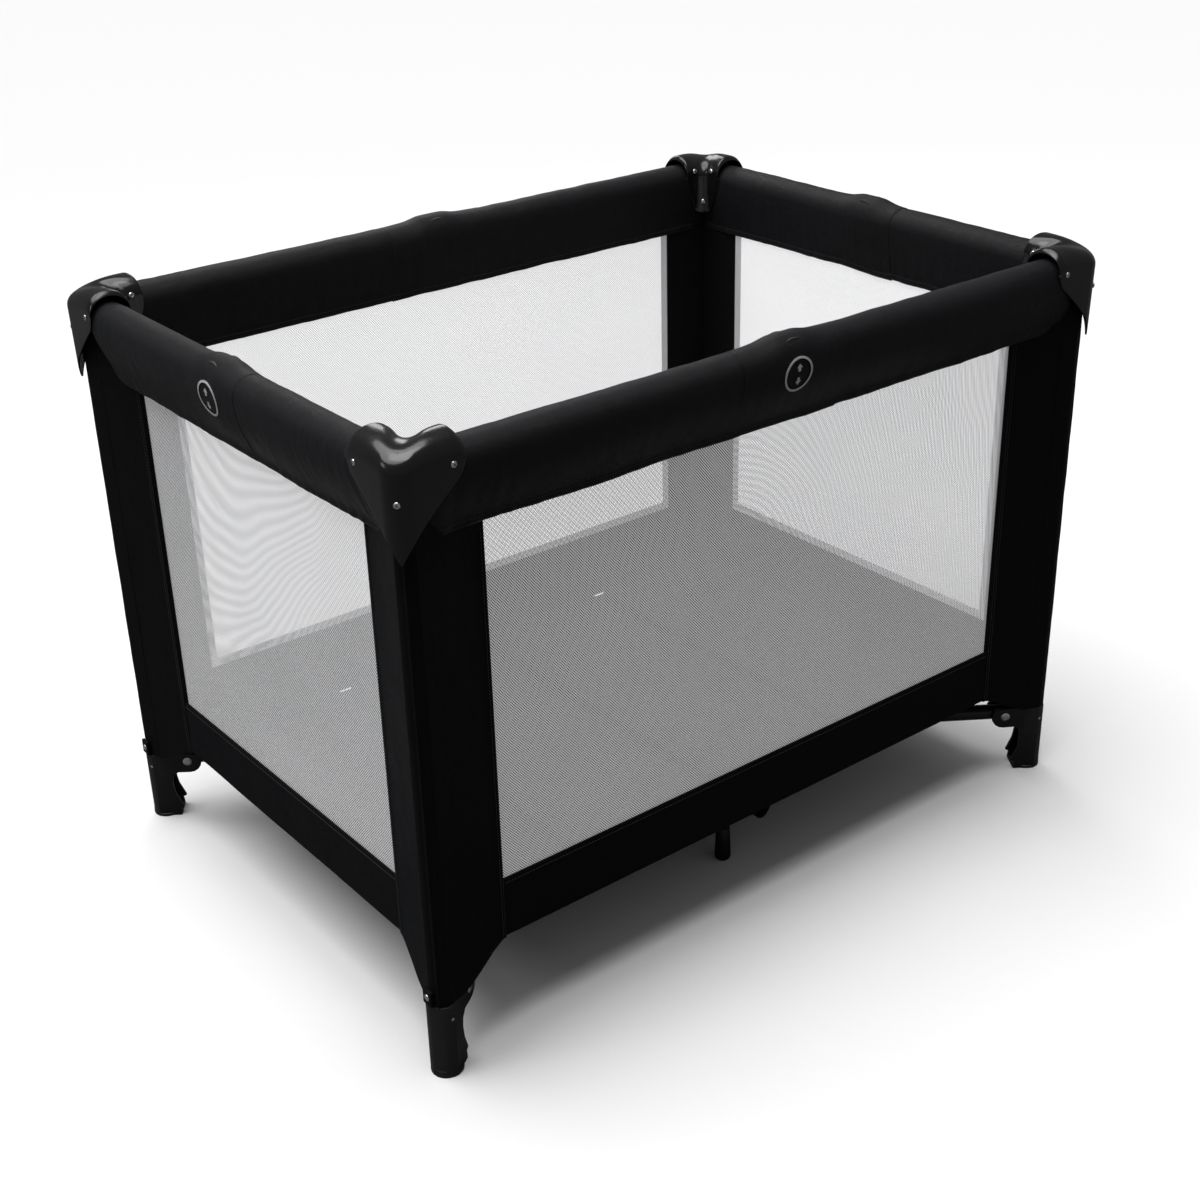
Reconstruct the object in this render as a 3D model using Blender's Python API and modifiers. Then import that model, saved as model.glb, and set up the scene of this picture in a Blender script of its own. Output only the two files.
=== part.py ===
"""Folding playpen: a steel tube frame with plastic fittings, and plain soft goods.

Units are metres and +Z is up. The origin is on the floor under the middle of the pen,
X runs along the long sides and Y along the short ones. The frame is shown open and locked.

Folding: the hub is pulled up, every base tube turns down from it about a level pin, the
posts stay upright and move in, and each top rail breaks in the middle and drops. HUB_PIVOT
and FOOT_PIVOT added up, and taken along X or along Y, equal CAP_PIVOT and the distance of a
latch pin from mid-rail (LATCH_X, LATCH_Y) added up. So the base tubes and all the rail
halves turn through the same angle.
"""
from math import atan2, cos, pi, radians, sin

import bmesh
import bpy
from mathutils import Matrix, Vector

# Overall frame
POST_X = 0.500            # post centre lines, from the middle of the pen
POST_Y = 0.347
POST_RADIUS = 0.0125
TUBE_WALL = 0.0012
RAIL_Z = 0.724            # centre line of the top rails
RAIL_RADIUS = 0.0105
BASE_Z = 0.086            # centre line of the base tubes and of all their pins
BASE_RADIUS = 0.0105
TUBE_PAST_PIN = 0.004     # a tube runs this far past each of its pins

# Pins, measured from the post or from the middle of the pen
HUB_PIVOT = 0.050
FOOT_PIVOT = 0.039
CAP_PIVOT = 0.030

# Corner cap
CAP_TOP = 0.758
CAP_TIP_Z = 0.630         # tip of the outer apron
CAP_INNER_TIP_Z = 0.676   # tip of the inner apron
CAP_ARM = 0.058
CAP_ARM_EDGE_Z = 0.722    # lower edge of the cap at the end of its arms
CAP_HALF_WIDTH = 0.0265
CAP_WALL = 0.002
CAP_ROOF = 0.0065

# Foot
FOOT_TOP = 0.098
FOOT_RADIUS = 0.0175
FOOT_CHEEK_HALF = 0.0165  # outside of the two cheeks, from the diagonal
FOOT_SLOT_HALF = 0.0118
FOOT_SLOT_START = 0.004   # from the post's centre line, inwards
FOOT_LENGTH = 0.080       # blank that the side view is cut with
FOOT_LIP = 0.0015         # the sole stands out this far
FOOT_NOSE = 0.0165        # radius of the end round the pin
SOLE = 0.006
PIN_RADIUS = 0.003
PIN_HEAD_RADIUS = 0.0062
PIN_HEAD = 0.002
PIN_CROWN = 0.6           # flat middle of a rivet head, as a share of its radius
PIN_EDGE = 0.0006

# Hub and centre legs
HUB_RADIUS = 0.068
HUB_BOTTOM = 0.071
HUB_TOP = 0.1008
HUB_SLOT_ROOF = 0.0982
HUB_TUBE_ROOM = 0.013     # a slot goes on this far past its pin
HUB_LEG_ROOM = 0.012
HUB_SIDES = 32
LEG_X = 0.0105            # the two centre legs pass each other when they fold
LEG_Y = 0.244
LEG_PIVOT = 0.052
LEG_RADIUS = 0.009
LEG_BEND = 0.030
LEG_TIP_TOP = 0.050
LEG_TIP_RADIUS = 0.0108
LEG_TIP_SHOULDER = 0.008  # height at which the tip is at its widest
LEG_TIP_EDGE = 0.003

# Rail latch and its button
LATCH_HALF_WIDTH = 0.0152
LATCH_SLOT_HALF = 0.0118
LATCH_BOTTOM = 0.019      # below the rail's centre line
LATCH_FLOOR = 0.0145
LATCH_END = 0.0165        # past the pin
LATCH_HUMP = 0.0265
LATCH_HUMP_RADIUS = 0.012
LATCH_HUMP_STRETCH = 1.6
LATCH_SHOULDERS = ((0.0165, 0.008), (0.0105, 0.0135), (0.002, 0.0165))  # past the pin, height
BUTTON_RADIUS = 0.011
BUTTON_STEM = 0.004
BUTTON_STAND = 0.0042     # free travel between the button and the latch
BUTTON_FACE = 0.003
BUTTON_CHAMFER = (0.9, 0.7)  # share of the radius and of the face's thickness
BUTTON_TAIL = 0.004
BUTTON_HOLE_GAP = 0.0005

# Soft goods
COVER_RADIUS = 0.0235
COVER_FROM_CAP_PIN = 0.040
COVER_FROM_LATCH_PIN = 0.030
WALL_INSET = 0.010        # cloth walls hang this far inside the post centre lines
WALL_THICK = 0.003
SLEEVE_RADIUS = 0.0158
SLEEVE_ARM_X = 0.0975     # reach of the black corner cloth along each wall
SLEEVE_ARM_Y = 0.0940
SLEEVE_BOTTOM = 0.0985
WALL_BOTTOM = 0.1025
WALL_TOP = 0.699
FLOOR_BOTTOM = 0.1025
MAT_X = 0.465
MAT_Y = 0.310
MAT_BOTTOM = 0.1092
MAT_THICK = 0.016
MAT_CORNER = 0.050
STRAP = (0.080, 0.014, 0.0022)

GAP = 0.0003
SLIDING_GAP = 0.0004      # round a post or a pin, on the radius
SLOT_PLAY = 0.0009        # beside a tube that turns in a slot of the hub
ROUND_SIDES = 16
MERGE = 0.00001
SHARP_ANGLE = 35.0
CUT = 0.3                 # longer than any part, for cutters that go right through

CORNERS = {"front_left": (-1, -1), "front_right": (1, -1),
           "back_left": (-1, 1), "back_right": (1, 1)}
DIAGONAL = Vector((POST_X, POST_Y, 0)).length
DIAGONAL_ANGLE = atan2(POST_Y, POST_X)
LATCH_X = (HUB_PIVOT + FOOT_PIVOT) * cos(DIAGONAL_ANGLE) - CAP_PIVOT
LATCH_Y = (HUB_PIVOT + FOOT_PIVOT) * sin(DIAGONAL_ANGLE) - CAP_PIVOT
SIDES = {"front": ((0, -1), "front_left", "front_right", LATCH_X),
         "back": ((0, 1), "back_left", "back_right", LATCH_X),
         "left": ((-1, 0), "front_left", "back_left", LATCH_Y),
         "right": ((1, 0), "front_right", "back_right", LATCH_Y)}

FINISHES = {"black_tube": ((0.015, 0.015, 0.017), 0.35, 0.6),
            "gloss_black_plastic": ((0.008, 0.008, 0.009), 0.15, 0.0),
            "foot_plastic": ((0.012, 0.012, 0.013), 0.4, 0.0),
            "latch_plastic": ((0.03, 0.03, 0.032), 0.5, 0.0),
            "button_grey": ((0.25, 0.25, 0.26), 0.5, 0.0),
            "rivet_steel": ((0.75, 0.75, 0.74), 0.25, 1.0),
            "rail_cloth": ((0.012, 0.012, 0.015), 0.7, 0.0),
            "corner_cloth": ((0.010, 0.010, 0.012), 0.8, 0.0),
            "mesh_net": ((0.72, 0.72, 0.74), 0.8, 0.0),
            "floor_cloth": ((0.012, 0.012, 0.013), 0.85, 0.0),
            "mat_cloth": ((0.02, 0.02, 0.022), 0.8, 0.0),
            "strap_web": ((0.03, 0.03, 0.03), 0.8, 0.0)}


def clear_scene():
    for old in list(bpy.data.objects):
        bpy.data.objects.remove(old, do_unlink=True)


def collection(name):
    made = bpy.data.collections.new(name)
    bpy.context.scene.collection.children.link(made)
    return made


def finish(name):
    """The material called name, made the first time it is asked for."""
    made = bpy.data.materials.get(name)
    if made is None:
        colour, roughness, metallic = FINISHES[name]
        made = bpy.data.materials.new(name)
        made.use_nodes = True
        shader = made.node_tree.nodes["Principled BSDF"]
        shader.inputs["Base Color"].default_value = (*colour, 1)
        shader.inputs["Roughness"].default_value = roughness
        shader.inputs["Metallic"].default_value = metallic
    return made


clear_scene()
PARTS = collection("playpen")
CUTTERS = collection("cutters")


def face_outwards(bm):
    bmesh.ops.recalc_face_normals(bm, faces=bm.faces)
    if bm.calc_volume(signed=True) < 0:
        bmesh.ops.reverse_faces(bm, faces=bm.faces)


def place(name, bm, finish_name, origin=(0, 0, 0)):
    """A part from a bmesh in world places, with its own origin at a joint's axis."""
    face_outwards(bm)
    bm.transform(Matrix.Translation(-Vector(origin)))
    mesh = bpy.data.meshes.new(name)
    bm.to_mesh(mesh)
    bm.free()
    mesh.shade_smooth()
    mesh.set_sharp_from_angle(angle=radians(SHARP_ANGLE))
    made = bpy.data.objects.new(name, mesh)
    made.location = origin
    made.data.materials.append(finish(finish_name))
    PARTS.objects.link(made)
    return made


def cutter(name, bm):
    face_outwards(bm)
    mesh = bpy.data.meshes.new(name)
    bm.to_mesh(mesh)
    bm.free()
    made = bpy.data.objects.new(name, mesh)
    made.hide_render = True
    made.display_type = "WIRE"
    CUTTERS.objects.link(made)
    return made


def boolean(part, tool, operation="DIFFERENCE"):
    step = part.modifiers.new(tool.name, "BOOLEAN")
    step.operation = operation
    step.object = tool


def shell(part, thickness):
    """Gives an open surface a wall, inwards."""
    wall = part.modifiers.new("wall", "SOLIDIFY")
    wall.thickness = thickness
    wall.offset = -1
    wall.use_even_offset = True


def along(start, end):
    """The matrix that takes +Z, centred, to the line from start to end."""
    start = Vector(start)
    end = Vector(end)
    turn = Vector((0, 0, 1)).rotation_difference(end - start).to_matrix().to_4x4()
    return Matrix.Translation((start + end) / 2) @ turn


def rod(start, end, radius, capped=True, sides=ROUND_SIDES):
    bm = bmesh.new()
    bmesh.ops.create_cone(bm, segments=sides, radius1=radius, radius2=radius, cap_ends=capped,
                          depth=(Vector(end) - Vector(start)).length, matrix=along(start, end))
    return bm


def block(low, high):
    low = Vector(low)
    high = Vector(high)
    size = Matrix.Diagonal((*(high - low), 1))
    bm = bmesh.new()
    bmesh.ops.create_cube(bm, size=1, matrix=Matrix.Translation((low + high) / 2) @ size)
    return bm


def plate(outline, thickness, matrix):
    """A flat outline with a thickness, centred on its plane, as a filled 2D curve."""
    curve = bpy.data.curves.new("outline", "CURVE")
    curve.dimensions = "2D"
    curve.fill_mode = "BOTH"
    curve.extrude = thickness / 2
    spline = curve.splines.new("POLY")
    spline.points.add(len(outline) - 1)
    for point, (x, y) in zip(spline.points, outline):
        point.co = (x, y, 0, 1)
    spline.use_cyclic_u = True
    return solid_from_curve(curve, matrix)


def solid_from_curve(curve, matrix=Matrix.Identity(4)):
    """The curve's surface as a bmesh with its caps joined on."""
    guide = bpy.data.objects.new("guide", curve)
    PARTS.objects.link(guide)
    evaluated = guide.evaluated_get(bpy.context.evaluated_depsgraph_get())
    mesh = bpy.data.meshes.new_from_object(evaluated)
    bpy.data.objects.remove(guide, do_unlink=True)
    bm = bmesh.new()
    bm.from_mesh(mesh)
    bmesh.ops.remove_doubles(bm, verts=bm.verts, dist=MERGE)
    bm.transform(matrix)
    return bm


def flat(z):
    return Matrix.Translation((0, 0, z))


def arc(centre, radius, start, end, steps):
    """Points on an arc, angles in degrees."""
    turns = [radians(start + (end - start) * i / steps) for i in range(steps + 1)]
    return [(centre[0] + radius * cos(t), centre[1] + radius * sin(t)) for t in turns]


def hollow_tube(name, start, end, radius, origin):
    """A straight steel tube, open at both ends."""
    tube = place(name, rod(start, end, radius, capped=False), "black_tube", origin)
    shell(tube, TUBE_WALL)
    return tube


def corner_point(sign, inward_x, inward_y, z):
    """A world point given by its distances inward from a post's centre line."""
    return Vector((sign[0] * (POST_X - inward_x), sign[1] * (POST_Y - inward_y), z))


def corner_plan(sign, outline):
    return [tuple(corner_point(sign, u, v, 0).xy) for u, v in outline]


def outward(sign):
    return Vector((sign[0] * POST_X, sign[1] * POST_Y, 0)) / DIAGONAL


def side_view(sign):
    """Puts a side view, (inward from the post along the diagonal, height), in the world."""
    away = outward(sign)
    across = Vector((-away.y, away.x, 0))
    columns = Matrix((-away, (0, 0, 1), across)).transposed().to_4x4()
    return Matrix.Translation(corner_point(sign, 0, 0, 0)) @ columns


def foot_pin_point(sign, across=0.0):
    away = outward(sign)
    side = Vector((-away.y, away.x, 0))
    return corner_point(sign, 0, 0, BASE_Z) - away * FOOT_PIVOT + side * across


def make_post(corner, sign):
    low = corner_point(sign, 0, 0, SOLE + GAP)
    high = corner_point(sign, 0, 0, CAP_TOP - CAP_ROOF - GAP)
    hollow_tube(f"post_{corner}", low, high, POST_RADIUS, foot_pin_point(sign))


def cap_plan(half, arm):
    """The cap's L-shaped outline, with a round outer corner."""
    corner = arc((0, 0), half, 180, 270, 6)
    return corner + [(arm, -half), (arm, half), (half, half), (half, arm), (-half, arm)]


def make_cap(corner, sign):
    """A hood over the post's top, open below and at the end of both arms."""
    height = CAP_TOP - CAP_TIP_Z
    outline = corner_plan(sign, cap_plan(CAP_HALF_WIDTH, CAP_ARM))
    body = plate(outline, height, flat(CAP_TIP_Z + height / 2))
    cap = place(f"cap_{corner}", body, "gloss_black_plastic", corner_point(sign, 0, 0, RAIL_Z))
    inside = CAP_HALF_WIDTH - CAP_WALL
    reach = height + CAP_ROOF
    roof = CAP_TOP - CAP_ROOF
    hollow = plate(corner_plan(sign, cap_plan(inside, 2 * CAP_ARM)), reach, flat(roof - reach / 2))
    boolean(cap, cutter(f"cap_hollow_{corner}", hollow))
    boolean(cap, cutter(f"cap_aprons_{corner}", apron_tent(sign)))


def apron_tent(sign):
    """Trims the hood's lower edge to two pointed aprons, one outside and one inside."""
    ridge_at = (CAP_ARM - CAP_HALF_WIDTH) / 2 + 3 * GAP
    outer_run = ridge_at + CAP_HALF_WIDTH
    outer_rise = (CAP_ARM_EDGE_Z - CAP_TIP_Z) / outer_run
    inner_run = CAP_HALF_WIDTH - ridge_at
    inner_rise = (CAP_ARM_EDGE_Z - CAP_INNER_TIP_Z) / inner_run
    tent = [(ridge_at, CAP_ARM_EDGE_Z), (ridge_at - CUT, CAP_ARM_EDGE_Z - CUT * outer_rise),
            (ridge_at + CUT, CAP_ARM_EDGE_Z - CUT * inner_rise)]
    # The tent's ridge runs across the corner, from the end of one arm to the other's.
    inward = Vector((-sign[0], -sign[1], 0))
    across = Vector((sign[1], -sign[0], 0)).normalized()
    columns = Matrix((inward, (0, 0, 1), across)).transposed().to_4x4()
    return plate(tent, CUT, Matrix.Translation(corner_point(sign, 0, 0, 0)) @ columns)


def foot_side_outline():
    """Outer edge, sole with its notch, flared cheek, and the arm that holds the pin."""
    back = -FOOT_RADIUS
    lip = back - FOOT_LIP
    sole = [(back, FOOT_TOP), (back, 0.009), (lip, 0.007), (lip, 0.0)]
    flare = [(0.0215, 0.0), (0.0200, 0.012), (0.0250, 0.014), (0.0170, 0.034), (0.0145, 0.050)]
    arm = [(0.0165, 0.0620), (0.0240, 0.0690)]
    nose = arc((FOOT_PIVOT + 0.002, BASE_Z - 0.001), FOOT_NOSE, -90, 40, 6)
    return sole + flare + arm + nose + [(FOOT_PIVOT, FOOT_TOP)]


def foot_plan(sign):
    """Plan of the shoe: a round heel and two straight sides, the full height of the foot."""
    half = FOOT_CHEEK_HALF
    start = FOOT_SLOT_START
    heel = arc((0, 0), FOOT_RADIUS + FOOT_LIP, 115, 245, 8)
    outline = heel + [(start, -half), (FOOT_LENGTH, -half), (FOOT_LENGTH, half), (start, half)]
    away = outward(sign)
    across = Vector((-away.y, away.x, 0))
    columns = Matrix((-away, across, (0, 0, 1))).transposed().to_4x4()
    return plate(outline, CUT, Matrix.Translation(corner_point(sign, 0, 0, 0)) @ columns)


def make_foot(corner, sign):
    """A moulded shoe on the post's end, with two cheeks that hold the base tube's pin."""
    side = plate(foot_side_outline(), FOOT_LENGTH, side_view(sign))
    foot = place(f"foot_{corner}", side, "foot_plastic", foot_pin_point(sign))
    boolean(foot, cutter(f"foot_plan_{corner}", foot_plan(sign)), "INTERSECT")
    low = corner_point(sign, 0, 0, SOLE)
    bore = rod(low, low + Vector((0, 0, CUT)), POST_RADIUS + SLIDING_GAP)
    boolean(foot, cutter(f"foot_bore_{corner}", bore))
    start = FOOT_SLOT_START
    slot = [(start, SOLE), (FOOT_LENGTH, SOLE), (FOOT_LENGTH, CUT), (start, CUT)]
    channel = plate(slot, 2 * FOOT_SLOT_HALF, side_view(sign))
    boolean(foot, cutter(f"foot_slot_{corner}", channel))
    boolean(foot, cutter(f"foot_pin_hole_{corner}", pin_hole(sign)))


def pin_hole(sign):
    reach = 2 * FOOT_CHEEK_HALF
    return rod(foot_pin_point(sign, -reach), foot_pin_point(sign, reach), PIN_RADIUS + SLIDING_GAP)


def make_foot_pin(corner, sign):
    """A rivet with a head on each side: a turned profile, laid level across the foot."""
    shank = FOOT_CHEEK_HALF + GAP
    end = shank + PIN_HEAD
    crown = PIN_HEAD_RADIUS * PIN_CROWN
    half = [(0, end), (crown, end), (PIN_HEAD_RADIUS, shank + PIN_EDGE), (PIN_HEAD_RADIUS, shank),
            (PIN_RADIUS, shank)]
    profile = half + [(radius, -height) for radius, height in reversed(half)]
    pin = turned(f"foot_pin_{corner}", profile, "rivet_steel")
    away = outward(sign)
    side = Vector((-away.y, away.x, 0))
    pin.location = foot_pin_point(sign)
    pin.rotation_euler = Vector((0, 0, 1)).rotation_difference(side).to_euler()


def turned(name, profile, finish_name):
    """A profile of (radius, height), from its top to its bottom, turned round local Z."""
    mesh = bpy.data.meshes.new(name)
    bm = bmesh.new()
    verts = [bm.verts.new((radius, 0, height)) for radius, height in profile]
    for first, second in zip(verts, verts[1:]):
        bm.edges.new((first, second))
    bm.to_mesh(mesh)
    bm.free()
    made = bpy.data.objects.new(name, mesh)
    made.data.materials.append(finish(finish_name))
    PARTS.objects.link(made)
    lathe = made.modifiers.new("turned", "SCREW")
    lathe.angle = 2 * pi
    lathe.steps = ROUND_SIDES
    lathe.render_steps = ROUND_SIDES
    lathe.use_merge_vertices = True
    lathe.merge_threshold = MERGE
    lathe.use_smooth_shade = True
    return made


def make_base_tube(corner, sign):
    away = outward(sign)
    inner = away * (HUB_PIVOT - TUBE_PAST_PIN) + Vector((0, 0, BASE_Z))
    outer = foot_pin_point(sign) + away * TUBE_PAST_PIN
    tube = hollow_tube(f"base_tube_{corner}", inner, outer, BASE_RADIUS, foot_pin_point(sign))
    boolean(tube, cutter(f"base_tube_pin_hole_{corner}", pin_hole(sign)))


def make_hub():
    """The plastic hub under the floor, with a slot for each base tube and centre leg."""
    outline = arc((0, 0), HUB_RADIUS, 0, 360 * (1 - 1 / HUB_SIDES), HUB_SIDES - 1)
    height = HUB_TOP - HUB_BOTTOM
    middle = flat(HUB_BOTTOM + height / 2)
    hub = place("hub", plate(outline, height, middle), "latch_plastic", (0, 0, BASE_Z))
    half = BASE_RADIUS + SLOT_PLAY
    for corner, sign in CORNERS.items():
        turn = Matrix.Rotation(atan2(sign[1] * POST_Y, sign[0] * POST_X), 4, "Z")
        slot = block((HUB_PIVOT - HUB_TUBE_ROOM, -half, 0), (2 * HUB_RADIUS, half, HUB_SLOT_ROOF))
        slot.transform(turn)
        boolean(hub, cutter(f"hub_slot_{corner}", slot))
    half = LEG_RADIUS + SLOT_PLAY
    near = LEG_PIVOT - HUB_LEG_ROOM
    far = 2 * HUB_RADIUS
    for end, side in (("front", -1), ("back", 1)):
        low = (-side * LEG_X - half, min(side * near, side * far), 0)
        high = (-side * LEG_X + half, max(side * near, side * far), HUB_SLOT_ROOF)
        boolean(hub, cutter(f"hub_leg_slot_{end}", block(low, high)))


def make_centre_leg(end, side):
    """A tube that runs out from the hub and bends down to the floor, with a plastic tip."""
    x = -side * LEG_X
    bend = arc((LEG_Y - LEG_BEND, BASE_Z - LEG_BEND), LEG_BEND, 90, 0, 6)
    route = [(LEG_PIVOT - TUBE_PAST_PIN, BASE_Z)] + bend + [(LEG_Y, LEG_TIP_TOP)]
    curve = bpy.data.curves.new("leg", "CURVE")
    curve.dimensions = "3D"
    curve.bevel_depth = LEG_RADIUS
    curve.bevel_resolution = 2
    spline = curve.splines.new("POLY")
    spline.points.add(len(route) - 1)
    for point, (reach, z) in zip(spline.points, route):
        point.co = (x, side * reach, z, 1)
    pivot = (x, side * LEG_PIVOT, BASE_Z)
    leg = place(f"centre_leg_{end}", solid_from_curve(curve), "black_tube", pivot)
    shell(leg, TUBE_WALL)
    top = LEG_TIP_TOP - GAP
    profile = [(0, top), (LEG_RADIUS, top), (LEG_TIP_RADIUS, LEG_TIP_SHOULDER),
               (LEG_TIP_RADIUS - 0.0005, LEG_TIP_EDGE), (LEG_TIP_RADIUS - LEG_TIP_EDGE, 0), (0, 0)]
    tip = turned(f"leg_tip_{end}", profile, "foot_plastic")
    tip.location = (x, side * LEG_Y, 0)


def rail_line(side):
    """The middle of a side's top rail, and the unit vector from its first corner to its last."""
    out, first, last, _ = SIDES[side]
    start = Vector((CORNERS[first][0] * POST_X, CORNERS[first][1] * POST_Y, RAIL_Z))
    end = Vector((CORNERS[last][0] * POST_X, CORNERS[last][1] * POST_Y, RAIL_Z))
    return (start + end) / 2, (end - start).normalized(), (end - start).length / 2


def make_rail(side):
    """Both half rails of a side, each with its padded cover, hinged at a cap and at the latch."""
    middle, run, half_length = rail_line(side)
    latch_pin = SIDES[side][3]
    for corner, way in ((SIDES[side][1], -1), (SIDES[side][2], 1)):
        outer_pin = middle + run * way * (half_length - CAP_PIVOT)
        inner_pin = middle + run * way * latch_pin
        step = run * way
        hollow_tube(f"rail_{side}_{corner}", inner_pin - step * TUBE_PAST_PIN,
                    outer_pin + step * TUBE_PAST_PIN, RAIL_RADIUS, outer_pin)
        start = inner_pin + step * COVER_FROM_LATCH_PIN
        end = outer_pin - step * COVER_FROM_CAP_PIN
        sleeve = rod(start, end, COVER_RADIUS, capped=False)
        cover = place(f"rail_cover_{side}_{corner}", sleeve, "rail_cloth", outer_pin)
        shell(cover, COVER_RADIUS - RAIL_RADIUS - 2 * GAP)


def latch_outline(pin):
    """Side view of the latch: level floor, low ends and a rounded hump in the middle."""
    top = arc((0, LATCH_HUMP - LATCH_HUMP_RADIUS), LATCH_HUMP_RADIUS, 60, 120, 4)
    right = [(pin + LATCH_END, -LATCH_BOTTOM)] + [(pin + past, z) for past, z in LATCH_SHOULDERS]
    left = [(-x, z) for x, z in reversed(right)]
    return right + [(x * LATCH_HUMP_STRETCH, z) for x, z in top] + left


def make_latch(side):
    """The channel that joins two half rails, turning about the first half's pin."""
    middle, run, _ = rail_line(side)
    out, _, _, pin = SIDES[side]
    outwards = Vector((*out, 0))
    level = Vector((abs(outwards.y), abs(outwards.x), 0))
    columns = Matrix((level, (0, 0, 1), level.cross(Vector((0, 0, 1))))).transposed().to_4x4()
    frame = Matrix.Translation(middle) @ columns
    body = plate(latch_outline(pin), 2 * LATCH_HALF_WIDTH, frame)
    latch = place(f"rail_latch_{side}", body, "latch_plastic", middle - run * pin)
    slot = [(-CUT, -LATCH_FLOOR), (CUT, -LATCH_FLOOR), (CUT, CUT), (-CUT, CUT)]
    boolean(latch, cutter(f"latch_slot_{side}", plate(slot, 2 * LATCH_SLOT_HALF, frame)))
    hole = rod(middle, middle + outwards * 2 * LATCH_HALF_WIDTH, BUTTON_STEM + BUTTON_HOLE_GAP)
    boolean(latch, cutter(f"latch_hole_{side}", hole))


def make_button(side):
    """The button that frees the latch: a turned profile, pressed straight in."""
    base = LATCH_HALF_WIDTH + BUTTON_STAND
    face = base + BUTTON_FACE
    tail = LATCH_SLOT_HALF - BUTTON_TAIL
    inner, lower = BUTTON_CHAMFER
    profile = [(0, face), (BUTTON_RADIUS * inner, face), (BUTTON_RADIUS, base + BUTTON_FACE * lower),
               (BUTTON_RADIUS, base), (BUTTON_STEM, base), (BUTTON_STEM, tail), (0, tail)]
    button = turned(f"release_button_{side}", profile, "button_grey")
    button.location = rail_line(side)[0]
    outwards = Vector((*SIDES[side][0], 0))
    button.rotation_euler = Vector((0, 0, 1)).rotation_difference(outwards).to_euler()


def sleeve_outline():
    """Plan of the corner cloth: round the post outside, and a thin wing along each wall."""
    inner = WALL_INSET + WALL_THICK / 2
    outer = WALL_INSET - WALL_THICK / 2
    wrap = arc((0, 0), SLEEVE_RADIUS, 165, 285, 8)
    return wrap + [(SLEEVE_ARM_X, outer), (SLEEVE_ARM_X, inner), (inner, inner),
                   (inner, SLEEVE_ARM_Y), (outer, SLEEVE_ARM_Y)]


def make_corner_sleeve(corner, sign):
    height = WALL_TOP - SLEEVE_BOTTOM
    outline = corner_plan(sign, sleeve_outline())
    body = plate(outline, height, flat(SLEEVE_BOTTOM + height / 2))
    sleeve = place(f"corner_sleeve_{corner}", body, "corner_cloth", corner_point(sign, 0, 0, 0))
    low = corner_point(sign, 0, 0, 0)
    bore = rod(low, low + Vector((0, 0, CAP_TOP)), POST_RADIUS + SLIDING_GAP)
    boolean(sleeve, cutter(f"sleeve_bore_{corner}", bore))


def make_walls():
    """The net walls with their lower bands, one flat panel between each pair of corners."""
    half = WALL_THICK / 2
    wide = POST_X - SLEEVE_ARM_X - GAP
    deep = POST_Y - SLEEVE_ARM_Y - GAP
    for side, (out, _, _, _) in SIDES.items():
        centre = Vector((out[0] * (POST_X - WALL_INSET), out[1] * (POST_Y - WALL_INSET), 0))
        size = Vector((wide, half, 0)) if out[0] == 0 else Vector((half, deep, 0))
        low = centre - size + Vector((0, 0, WALL_BOTTOM))
        high = centre + size + Vector((0, 0, WALL_TOP))
        place(f"wall_{side}", block(low, high), "mesh_net", centre)


def make_floor_and_mat():
    """The floor cloth, the folding mat that lies on it, and the strap that pulls the hub up."""
    inset = WALL_INSET + WALL_THICK / 2 + GAP
    wide = POST_X - inset
    deep = POST_Y - inset
    top = FLOOR_BOTTOM + WALL_THICK
    cloth = block((-wide, -deep, FLOOR_BOTTOM), (wide, deep, top))
    place("floor_cloth", cloth, "floor_cloth", (0, 0, top))
    strap_x, strap_y, thick = STRAP
    low = top + GAP
    web = block((-strap_x, -strap_y, low), (strap_x, strap_y, low + thick))
    place("pull_strap", web, "strap_web", (0, 0, low))
    centres = ((1, 1, 0), (-1, 1, 90), (-1, -1, 180), (1, -1, 270))
    outline = []
    for x, y, turn in centres:
        middle = (x * (MAT_X - MAT_CORNER), y * (MAT_Y - MAT_CORNER))
        outline += arc(middle, MAT_CORNER, turn, turn + 90, 5)
    mat = plate(outline, MAT_THICK, flat(MAT_BOTTOM + MAT_THICK / 2))
    place("mat", mat, "mat_cloth", (0, 0, MAT_BOTTOM))


for corner_name, corner_sign in CORNERS.items():
    make_post(corner_name, corner_sign)
    make_cap(corner_name, corner_sign)
    make_foot(corner_name, corner_sign)
    make_foot_pin(corner_name, corner_sign)
    make_base_tube(corner_name, corner_sign)
    make_corner_sleeve(corner_name, corner_sign)
make_hub()
make_centre_leg("front", -1)
make_centre_leg("back", 1)
for side_name in SIDES:
    make_rail(side_name)
    make_latch(side_name)
    make_button(side_name)
make_walls()
make_floor_and_mat()
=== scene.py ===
import math
from functools import cache

import bmesh
import bpy
from mathutils import Matrix, Vector, noise


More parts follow.
